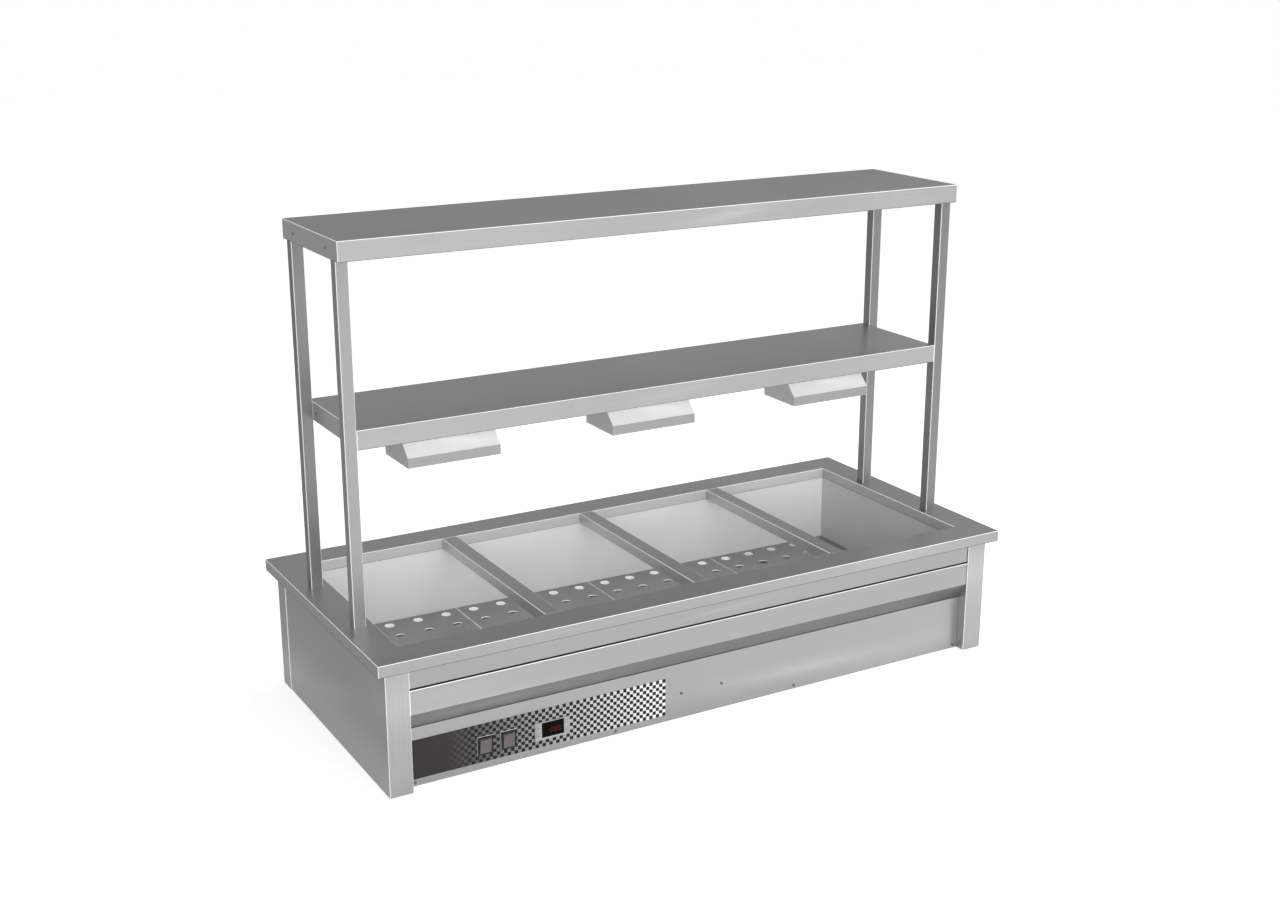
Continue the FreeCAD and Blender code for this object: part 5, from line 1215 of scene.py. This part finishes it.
class HeatLamps(SubAssembly):
    """Hoods with their reflectors, quartz lamps, holders and guards."""

    finishes = {
        **{f"lamp_hood_{index}": "lamp_steel" for index in (1, 2, 3)},
        "lamp_reflectors": "bright_aluminium",
        "lamp_holders": "ceramic_white",
        "lamp_guards": "chromed_wire",
        "lamp_hangers": "inner_steel",
        "quartz_tubes": "quartz_glass",
    }
    sizes = LampSizes()

    def places(self) -> list[Matrix]:
        """Give the lamps' placings, each axis along X."""
        size = self.sizes
        turn = Matrix.Rotation(math.pi / 2, 4, "Y")
        return [
            Matrix.Translation((share * size.pitch, 0.0, size.axis_level)) @ turn
            for share in (-1, 0, 1)
        ]

    def build(self) -> None:
        """Replace the plain tubes with hollow quartz and a coiled filament."""
        self.build_tubes()
        self.build_filaments()

    def build_tubes(self) -> None:
        """Blow the hollow tubes with their pinched ends."""
        size = self.sizes
        half = size.length / 2
        shoulder = half - size.neck_length
        tube = Bench.rod("quartz_lamp_glass", size.tube, -shoulder, shoulder, 28)
        for end in (-1, 1):
            Bench.work(tube, "FACE", level(end * shoulder), lambda end=end: self.pinch(end))
        shell = tube.modifiers.new("wall", "SOLIDIFY")
        shell.thickness = size.tube_wall
        shell.offset = -1.0
        Bench.finish(tube, shell)
        glass = Bench.repeat("quartz_lamp_glass", tube, self.places())
        self.mount(Bench.smooth(glass), "quartz_glass", "quartz")
        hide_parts("quartz_tubes")

    def pinch(self, end: int) -> None:
        """Draw the chosen end face into a neck.

        Args:
            end: 1 for the upper end and -1 for the lower one.
        """
        size = self.sizes
        shrink = size.neck / size.tube
        step = Vector((0.0, 0.0, end * size.neck_length * 0.3))
        bpy.ops.mesh.extrude_region_move(TRANSFORM_OT_translate={"value": step})
        bpy.ops.transform.resize(value=(shrink, shrink, 1.0))
        step = Vector((0.0, 0.0, end * size.neck_length * 0.7))
        bpy.ops.mesh.extrude_region_move(TRANSFORM_OT_translate={"value": step})

    @staticmethod
    def close_wire() -> None:
        """Close the wire's ends and turn its faces outwards."""
        bpy.ops.mesh.remove_doubles(threshold=0.00001)
        bpy.ops.mesh.fill_holes(sides=12)
        bpy.ops.mesh.normals_make_consistent(inside=False)

    def build_filaments(self) -> None:
        """Wind the filaments inside the tubes."""
        size = self.sizes
        straight = size.length - 2 * (size.neck_length + size.coil_margin)
        turns = int(straight / size.coil_step)
        start = -turns * size.coil_step / 2
        bpy.ops.object.select_all(action="DESELECT")
        bpy.ops.mesh.primitive_circle_add(
            vertices=6,
            radius=size.coil_wire,
            location=(size.coil, 0.0, start),
            rotation=(math.pi / 2, 0.0, 0.0),
            fill_type="NGON",
        )
        wire = Bench.settle(Bench.named("lamp_filaments"))
        winding = wire.modifiers.new("winding", "SCREW")
        winding.axis = "Z"
        winding.steps = 14
        winding.render_steps = 14
        winding.iterations = turns
        winding.screw_offset = size.coil_step
        winding.use_merge_vertices = True
        Bench.finish(wire, winding)
        Bench.work(wire, "FACE", lambda face: True, self.close_wire)
        coils = Bench.repeat("lamp_filaments", wire, self.places())
        self.mount(Bench.smooth(coils, 60.0), "element_sheath", "element")


@dataclass
class ControlSizes:
    """Sizes of the pieces on the control panel, in metres."""

    readout_face: float = -288.8 * MM
    readout_x: float = -364.0 * MM
    readout_z: float = 50.5 * MM
    digit_pitch: float = 9.0 * MM
    digit_width: float = 5.0 * MM
    digit_height: float = 10.0 * MM
    segment: float = 1.15 * MM
    slant: float = 0.12
    crown: float = 0.02 * MM
    lens_radius: float = 2.1 * MM
    lens_deep: float = 0.6 * MM
    lens_proud: float = 0.25 * MM
    lens_y: float = -290.567 * MM
    lens_z: float = 56.022 * MM
    lens_facing: Triple = (0.0, -0.9789, -0.2041)
    heater_x: float = -519 * MM
    lamp_x: float = -468 * MM
    key_face: float = -289.6 * MM
    controller_x: float = -371 * MM
    controller_z: float = 51 * MM
    key_offset: float = 31.9 * MM
    key_rise: float = 8 * MM
    mark_radius: float = 1.7 * MM
    mark_deep: float = 0.1 * MM
    mark_proud: float = 0.03 * MM
    mark_edge: float = 0.25 * MM


class Controls(SubAssembly):
    """Switches, controller, readout and key marks."""

    finishes = {
        "switch_bodies": "bezel_black",
        "heater_rocker": "rocker_grey",
        "lamp_rocker": "rocker_grey",
        "controller_case": "controller_grey",
        "controller_window": "window_smoke",
        **{f"controller_key_{index}": "key_grey" for index in (1, 2, 3, 4)},
        "contactor": "terminal_grey",
        "terminal_block": "terminal_grey",
    }
    sizes = ControlSizes()
    segments = {"0": "abcdef", "8": "abcdefg"}

    def build(self) -> None:
        """Build the readout, the lenses and the key marks."""
        self.build_readout("080")
        self.build_lens("heater_rocker", self.sizes.heater_x)
        self.build_lens("lamp_rocker", self.sizes.lamp_x)
        self.build_key_marks()

    def bar(self, x: float, z: float, upright: bool) -> bpy.types.Object:
        """Model one pointed segment of a digit.

        Args:
            x: Its middle, along the panel.
            z: Its middle, up the panel.
            upright: Whether it stands.

        Returns:
            The segment.
        """
        size = self.sizes
        length = (size.digit_height / 2 if upright else size.digit_width) - size.segment * 0.5
        bpy.ops.object.select_all(action="DESELECT")
        turn = 0.0 if upright else math.pi / 2
        bpy.ops.mesh.primitive_cylinder_add(
            vertices=6,
            radius=size.segment / 2,
            depth=0.2 * MM,
            rotation=(math.pi / 2, 0.0, 0.0),
        )
        piece = Bench.settle(Bench.named("segment"))
        Bench.work(
            piece,
            "FACE",
            lambda face: face.normal.y < -0.9,
            lambda: bpy.ops.mesh.inset(thickness=size.segment * 0.12, depth=size.crown),
        )
        piece.matrix_world = (
            Matrix.Translation((x, size.readout_face, z))
            @ Matrix.Rotation(turn, 4, "Y")
            @ Matrix.Diagonal((1.0, 1.0, length / size.segment, 1.0))
        )
        return Bench.settle(piece)

    def build_readout(self, shown: str) -> None:
        """Model the lit segments of the readout.

        Args:
            shown: The digits.
        """
        size = self.sizes
        half_w, half_h = size.digit_width / 2, size.digit_height / 2
        spots = {
            "a": (0.0, half_h, False),
            "b": (half_w, half_h / 2, True),
            "c": (half_w, -half_h / 2, True),
            "d": (0.0, -half_h, False),
            "e": (-half_w, -half_h / 2, True),
            "f": (-half_w, half_h / 2, True),
            "g": (0.0, 0.0, False),
        }
        bars = []
        for index, digit in enumerate(shown):
            middle = size.readout_x + (index - (len(shown) - 1) / 2) * size.digit_pitch
            for letter in self.segments[digit]:
                dx, dz, upright = spots[letter]
                lean = dz * size.slant
                bars.append(self.bar(middle + dx + lean, size.readout_z + dz, upright))
        readout = Bench.joined("readout_digits", bars)
        self.mount(readout, "readout_red", "dark_window")

    def build_lens(self, body: str, x: float) -> None:
        """Model a rocker's small round lens, set into its tilted face.

        Args:
            body: The rocker that carries it.
            x: The rocker's middle.
        """
        size = self.sizes
        lens = Bench.rod(f"{body}_lens", size.lens_radius, -size.lens_deep, size.lens_proud, 20)
        Bench.bevel(lens, rim(size.lens_proud), 0.22 * MM, 3)
        face = Vector(size.lens_facing)
        spot = Matrix.Translation((x, size.lens_y, size.lens_z))
        lens.matrix_world = spot @ face.to_track_quat("Z", "X").to_matrix().to_4x4()
        Bench.smooth(Bench.settle(lens))
        self.mount(lens, "lens_red", "black_plastic", body)

    def build_key_marks(self) -> None:
        """Model the marks on the four keys: a diamond, a disc and two triangles."""
        size = self.sizes
        marks = ((-1, 1, 4, 0.0), (-1, -1, 12, 0.0), (1, 1, 3, 0.0), (1, -1, 3, math.pi))
        for index, (side, rise, sides, spin) in enumerate(marks, start=1):
            x = size.controller_x + side * size.key_offset
            z = size.controller_z + rise * size.key_rise
            name = f"key_mark_{index}"
            mark = Bench.rod(name, size.mark_radius, -size.mark_deep, size.mark_proud, sides)
            Bench.work(
                mark,
                "FACE",
                level(size.mark_proud),
                lambda: bpy.ops.mesh.inset(thickness=size.mark_edge, depth=size.crown),
            )
            turn = Matrix.Rotation(spin, 4, "Z")
            mark.matrix_world = Axis.FRONT.matrix((x, size.key_face, z)) @ turn
            Bench.settle(mark)
            self.mount(mark, "key_mark_dark", "black_plastic", f"controller_key_{index}")


@dataclass
class DrainSizes:
    """Sizes of the drain's fine pieces, in metres."""

    x: float = 600 * MM
    y: float = 85 * MM
    lever_low: float = 12 * MM
    lever_high: float = 15 * MM
    grip_end: float = 79 * MM
    grip_start: float = 34 * MM
    grip_half: float = 7.6 * MM
    grip_wall: float = 1.2 * MM


class Services(SubAssembly):
    """Drain, gland and wiring at the back and underneath."""

    finishes = {
        "drain_pipes": "zinc_steel",
        "drain_valve_body": "nickel_brass",
        "valve_lever": "zinc_steel",
        "cable_gland": "gland_black",
        "wiring_looms": "cable_sleeve",
    }
    sizes = DrainSizes()

    def build(self) -> None:
        """Sleeve the valve's lever."""
        size = self.sizes
        grip = Bench.block(
            "valve_lever_grip",
            (size.x - size.grip_end, size.y - size.grip_half, size.lever_low - size.grip_wall),
            (size.x - size.grip_start, size.y + size.grip_half, size.lever_high + size.grip_wall),
        )
        Bench.bevel(grip, lambda edge: True, 1.6 * MM, 3)
        self.mount(Bench.smooth(grip), "grip_red", "black_plastic", "valve_lever")


@dataclass
class FixingSizes:
    """Sizes and places of screws, bolts and nuts, in metres."""

    screw_shank: float = 2 * MM
    screw_head: float = 3.5 * MM
    screw_tall: float = 1.5 * MM
    screw_long: float = 9 * MM
    bolt_shank: float = 3 * MM
    bolt_head: float = 5.2 * MM
    bolt_tall: float = 3.4 * MM
    panel_face: float = -284 * MM
    foot_screws: tuple[float, ...] = (-669 * MM, -223.3 * MM, 223.3 * MM, 669 * MM)
    foot_level: float = 8 * MM
    rail_screws: tuple[float, ...] = (-65 * MM, 35 * MM)
    rail_level: float = 56 * MM
    shelf_ends: tuple[tuple[float, float], ...] = (
        (723.35 * MM, 1029.2 * MM),
        (696.7 * MM, 663.7 * MM),
    )
    shelf_screw_y: float = 90 * MM
    channel_x: float = 694 * MM
    channel_level: float = 663.7 * MM
    deck_under: float = 284.5 * MM
    post_x: float = 709.5 * MM
    post_y: float = 122 * MM
    stud_hole: float = 5.2 * MM
    washer: float = 10.4 * MM
    washer_tall: float = 2 * MM
    nut: float = 9.8 * MM
    nut_tall: float = 8 * MM
    small_nut: float = 4.6 * MM
    small_tall: float = 4 * MM
    small_stud: float = 2.5 * MM
    small_tip: float = 1.5 * MM
    lamp_pitch: float = 464.5 * MM
    hanger_x: float = 70 * MM
    hanger_y: float = 11 * MM
    hanger_top: float = 681.3 * MM
    hood_top: float = 626.3 * MM


class Fixings(SubAssembly):
    """Screws, bolts, washers and nuts, each with its drive or chamfer."""

    sizes = FixingSizes()

    def screw(self, shank: float, head: float, tall: float, long: float) -> bpy.types.Object:
        """Model one pan-head screw with a cross recess, head up at the origin.

        Args:
            shank: The shank's radius.
            head: The head's radius.
            tall: The head's height.
            long: The shank's length.

        Returns:
            The screw.
        """
        piece = Bench.rod("screw", head, 0.0, tall, 22)
        Bench.bevel(piece, rim(tall), tall * 0.6, 3)

        def grow_shank() -> None:
            """Draw the shank out of the head's underside."""
            bpy.ops.mesh.inset(thickness=head - shank)
            step = Vector((0.0, 0.0, -long))
            bpy.ops.mesh.extrude_region_move(TRANSFORM_OT_translate={"value": step})

        Bench.work(piece, "FACE", level(0.0), grow_shank)
        wide, thin = head * 0.56, head * 0.11
        for half_x, half_y in ((wide, thin), (thin, wide)):
            low = (-half_x, -half_y, tall * 0.35)
            high = (half_x, half_y, tall * 1.5)
            Bench.cut(piece, Bench.block("recess", low, high))
        return piece

    def nut(self, radius: float, tall: float, hole: float, stud: float = 0.0) -> bpy.types.Object:
        """Model one chamfered hexagon nut that stands on the origin.

        Args:
            radius: Its radius across corners.
            tall: Its height.
            hole: The radius of its hole, or of the stud that fills it.
            stud: How far a stud stands out of it; 0 leaves the hole open.

        Returns:
            The nut.
        """
        piece = Bench.rod("nut", radius, 0.0, tall, 6)
        ends = (rim(0.0), rim(tall))
        Bench.bevel(piece, lambda edge: any(end(edge) for end in ends), tall * 0.1, 1)
        if stud > 0:
            pin = Bench.rod("stud", hole, tall - 0.2 * MM, tall + stud, 16)
            Bench.bevel(pin, rim(tall + stud), hole * 0.2, 1)
            return Bench.joined("nut", [piece, pin])
        Bench.cut(piece, Bench.rod("hole", hole, -tall, tall * 2, 24))
        return piece

    def build(self) -> None:
        """Place every screw, bolt, washer and nut, and replace the plain ones."""
        size = self.sizes
        pairs = [(sx, sy) for sx in (-1, 1) for sy in (-1, 1)]
        spots = [(x, size.panel_face, size.foot_level) for x in size.foot_screws]
        spots += [(x, size.panel_face, size.rail_level) for x in size.rail_screws]
        screws = [Axis.FRONT.matrix(spot) for spot in spots]
        for reach, height in size.shelf_ends:
            for sx, sy in pairs:
                axis = Axis.RIGHT if sx > 0 else Axis.LEFT
                screws.append(axis.matrix((sx * reach, sy * size.shelf_screw_y, height)))
        bolts = []
        for sx, sy in pairs:
            axis = Axis.LEFT if sx > 0 else Axis.RIGHT
            spot = (sx * size.channel_x, sy * size.post_y, size.channel_level)
            bolts.append(axis.matrix(spot))
        feet = [(sx * size.post_x, sy * size.post_y) for sx, sy in pairs]
        washers = [Matrix.Translation((x, y, size.deck_under)) for x, y in feet]
        under = size.deck_under - size.washer_tall
        nuts = [Axis.DOWN.matrix((x, y, under)) for x, y in feet]
        small = []
        for share in (-1, 0, 1):
            for side in (-1, 1):
                x = share * size.lamp_pitch + side * size.hanger_x
                small.append(Axis.DOWN.matrix((x, size.hanger_y, size.hanger_top)))
                small.append(Matrix.Translation((x, size.hanger_y, size.hood_top)))

        screw = self.screw(size.screw_shank, size.screw_head, size.screw_tall, size.screw_long)
        pieces = [Bench.repeat("pan_screws", screw, screws)]
        bolt = self.screw(size.bolt_shank, size.bolt_head, size.bolt_tall, size.screw_long)
        pieces.append(Bench.repeat("channel_bolts", bolt, bolts))
        washer = Bench.rod("washer", size.washer, -size.washer_tall, 0.0, 32)
        reach = 2.5 * size.washer_tall
        Bench.cut(washer, Bench.rod("hole", size.stud_hole, -reach, reach, 24))
        nut = self.nut(size.nut, size.nut_tall, size.stud_hole)
        pieces.append(Bench.repeat("washers", washer, washers))
        pieces.append(Bench.repeat("anchor_nuts", nut, nuts))
        nut = self.nut(size.small_nut, size.small_tall, size.small_stud, size.small_tip)
        pieces.append(Bench.repeat("hanger_nuts", nut, small))
        fixings = Bench.smooth(Bench.joined("screws_and_nuts", pieces), 30.0)
        self.mount(fixings, "fixing_steel", "steel")
        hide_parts("fasteners")


@dataclass
class BlanketSizes:
    """Sizes of the insulation, in metres."""

    half_x: float = 659.8 * MM
    inner_y: float = 258.6 * MM
    outer_y: float = 272.6 * MM
    foot: float = 71.5 * MM
    top: float = 250 * MM
    floor_left: float = 91.1 * MM
    floor_right: float = 80.1 * MM
    split: float = 80 * MM
    clearance: float = 9 * MM
    patch: float = 44 * MM
    seam: float = 3 * MM
    puff: float = 1.4 * MM
    holes: tuple[tuple[float, float], ...] = ((-560 * MM, 29.2 * MM), (600 * MM, 29.2 * MM))


class Insulation(SubAssembly):
    """Quilted glass cloth under the tank and along its front and back."""

    sizes = BlanketSizes()

    def quilt(self, piece: bpy.types.Object, low: Triple, high: Triple) -> bpy.types.Object:
        """Stitch a plain slab into a grid of puffed patches.

        Args:
            piece: The slab.
            low: Its lowest corner.
            high: Its highest corner.

        Returns:
            The quilted slab.
        """
        size = self.sizes
        for axis in range(3):
            across = Vector([float(axis == other) for other in range(3)])
            length = high[axis] - low[axis]
            patches = max(1, round(length / size.patch))
            for index in range(1, patches):
                seam = [float(value) for value in low]
                seam[axis] += length * index / patches
                Bench.work(
                    piece,
                    "FACE",
                    lambda face: True,
                    lambda seam=seam, across=across: bpy.ops.mesh.bisect(
                        plane_co=seam, plane_no=across
                    ),
                )

        def puff_up() -> None:
            """Shrink each patch's seam and raise its middle."""
            bpy.ops.transform.shrink_fatten(value=-size.puff)
            bpy.ops.mesh.inset(thickness=size.seam, use_individual=True)
            bpy.ops.transform.shrink_fatten(value=size.puff)

        Bench.work(piece, "FACE", lambda face: True, puff_up)
        return piece

    def build(self) -> None:
        """Replace the plain blanket with quilted slabs round the same hollow."""
        size = self.sizes
        slabs = []
        for side in (-1, 1):
            ends = sorted((side * size.inner_y, side * size.outer_y))
            low = (-size.half_x, ends[0], size.foot)
            high = (size.half_x, ends[1], size.top)
            slabs.append(self.quilt(Bench.block("slab", low, high), low, high))
        low = (-size.half_x, -size.inner_y, size.foot)
        high = (size.half_x, size.inner_y, size.floor_left)
        slab = Bench.block("slab", low, high)
        drop = Vector((0.0, 0.0, size.floor_right - size.floor_left))
        Bench.work(
            slab,
            "EDGE",
            lambda edge: all(spot.co.x > 0 and spot.co.z > size.split for spot in edge.verts),
            lambda: bpy.ops.transform.translate(value=drop),
        )
        self.quilt(slab, low, high)
        for x, radius in size.holes:
            hole = Bench.rod("hole", radius, size.foot - size.clearance, size.top, 40)
            hole.matrix_world = Matrix.Translation((x, 0.0, 0.0))
            Bench.cut(slab, Bench.settle(hole))
        slabs.append(slab)
        blanket = Bench.smooth(Bench.joined("quilted_insulation", slabs), 60.0)
        self.mount(blanket, "glass_cloth", "blanket")
        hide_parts("insulation_blanket")


# Studio
@dataclass
class Portrait:
    """The camera at the photograph's place, and its lens."""

    place: Triple = (-1.7755, -3.0719, 1.5865)
    tilt: float = 72.97
    heading: float = -30.01
    lens: float = 47.844

    def set_up(self) -> None:
        """Make the camera and use it."""
        data = bpy.data.cameras.new("portrait_camera")
        data.lens = self.lens
        data.sensor_width = 36.0
        data.clip_start = 0.05
        data.clip_end = 100.0
        camera = bpy.data.objects.new("portrait_camera", data)
        camera.location = self.place
        camera.rotation_euler = (math.radians(self.tilt), 0.0, math.radians(self.heading))
        bpy.context.scene.collection.objects.link(camera)
        bpy.context.scene.camera = camera


class Studio:
    """Pale floor, white surroundings, soft lights and grey cards for the metal."""

    soft_level: float = 0.5
    seen_lift: float = 0.55
    mirrored_lift: float = 0.12

    def set_up(self) -> None:
        """Build the studio."""
        scene = bpy.context.scene
        scene.view_settings.view_transform = "Standard"
        self.build_world(scene)
        self.build_floor()
        self.add_light("overhead", (0.9, -0.7, 3.6), (0.0, 0.0, 0.3), (3.4, 2.4), 60.0)
        self.add_light("front_key", (-1.2, -4.7, 1.5), (0.0, 0.0, 0.5), (3.4, 1.8), 95.0)
        self.add_light("right_fill", (4.4, -1.6, 2.0), (0.0, 0.0, 0.4), (2.0, 2.0), 25.0)
        self.add_card("back_card", 0.34, (1.2, 3.0, 2.2), (90.0, 0.0, 0.0), (10.0, 4.4))
        self.add_card("floor_card", 0.40, (-2.3, 1.6, 0.004), (0.0, 0.0, 0.0), (3.0, 4.2))

    @staticmethod
    def rays(tree: bpy.types.NodeTree, name: str) -> Value:
        """Give 1 for one kind of ray.

        Args:
            tree: The node tree to work in.
            name: The kind, such as Camera.

        Returns:
            The mask.
        """
        path = tree.nodes.new("ShaderNodeLightPath")
        return Value(tree, path.outputs[f"Is {name} Ray"])

    def build_world(self, scene: bpy.types.Scene) -> None:
        """Make white surroundings that light the part at a plain level.

        Args:
            scene: The scene.
        """
        world = bpy.data.worlds.new("white_studio")
        world.use_nodes = True
        scene.world = world
        tree = world.node_tree
        tree.nodes.clear()
        soft = tree.nodes.new("ShaderNodeBackground")
        soft.inputs["Color"].default_value = (1.0, 1.0, 1.0, 1.0)
        soft.inputs["Strength"].default_value = self.soft_level
        white = tree.nodes.new("ShaderNodeBackground")
        white.inputs["Color"].default_value = (1.0, 1.0, 1.0, 1.0)
        mix = tree.nodes.new("ShaderNodeMixShader")
        output = tree.nodes.new("ShaderNodeOutputWorld")
        seen = self.rays(tree, "Camera")
        for name in ("Glossy", "Transmission"):
            seen = seen.math("MAXIMUM", self.rays(tree, name))
        tree.links.new(seen.source, mix.inputs[0])
        tree.links.new(soft.outputs[0], mix.inputs[1])
        tree.links.new(white.outputs[0], mix.inputs[2])
        tree.links.new(mix.outputs[0], output.inputs["Surface"])

    def build_floor(self) -> None:
        """Make the pale floor, which keeps the shadow."""
        bpy.ops.object.select_all(action="DESELECT")
        bpy.ops.mesh.primitive_plane_add(size=30.0, location=(0.0, 0.0, -0.0005))
        floor = Bench.settle(Bench.named("studio_floor"))
        paint = Painter("pale_floor")
        lift = self.rays(paint.tree, "Camera") * self.seen_lift
        for name in ("Glossy", "Transmission"):
            lift = lift + self.rays(paint.tree, name) * self.mirrored_lift
        glow = paint.mixed(lift.limited(), grey(0.0), grey(1.0))
        paint.main(Base_Color=grey(0.82), Roughness=0.9, Emission_Color=glow)
        paint.main(Emission_Strength=1.0)
        floor.data.materials.append(paint.material)

    def add_light(
        self, name: str, place: Triple, aim: Triple, size: tuple[float, float], power: float
    ) -> None:
        """Add a soft rectangular light that metal doesn't mirror.

        Args:
            name: The light's name.
            place: Where it hangs.
            aim: What it faces.
            size: Its length and width.
            power: Its power in watts.
        """
        data = bpy.data.lights.new(name, "AREA")
        data.shape = "RECTANGLE"
        data.size, data.size_y = size
        data.energy = power
        light = bpy.data.objects.new(name, data)
        light.location = place
        facing = Vector(aim) - Vector(place)
        light.rotation_euler = facing.to_track_quat("-Z", "Y").to_euler()
        light.visible_glossy = False
        bpy.context.scene.collection.objects.link(light)

    def add_card(
        self, name: str, tone: float, place: Triple, turn: Triple, size: tuple[float, float]
    ) -> None:
        """Add a grey card that only the metal's reflections see.

        Args:
            name: The card's name.
            tone: Its brightness.
            place: Its middle.
            turn: Its turn in degrees.
            size: Its length and width.
        """
        bpy.ops.object.select_all(action="DESELECT")
        turned = tuple(math.radians(angle) for angle in turn)
        bpy.ops.mesh.primitive_plane_add(size=1.0, location=place, rotation=turned)
        card = Bench.named(name)
        card.scale = (*size, 1.0)
        Bench.settle(card)
        material = bpy.data.materials.new(name)
        material.use_nodes = True
        tree = material.node_tree
        tree.nodes.clear()
        glow = tree.nodes.new("ShaderNodeEmission")
        glow.inputs["Color"].default_value = (tone, tone, tone, 1.0)
        output = tree.nodes.new("ShaderNodeOutputMaterial")
        tree.links.new(glow.outputs[0], output.inputs["Surface"])
        card.data.materials.append(material)
        card.visible_camera = False
        card.visible_diffuse = False
        card.visible_transmission = False
        card.visible_volume_scatter = False
        card.visible_shadow = False


def main() -> None:
    """Load the part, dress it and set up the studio."""
    logging.basicConfig(level=logging.INFO, format="%(message)s")
    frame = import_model()
    Portrait().set_up()
    Studio().set_up()
    palette = Palette()
    for kind in (Casing, Well, Gantry, HeatLamps, Controls, Services, Fixings, Insulation):
        kind(frame, palette).make()
        LOG.info("%s: made", kind.__name__)


if __name__ == "__main__":
    main()
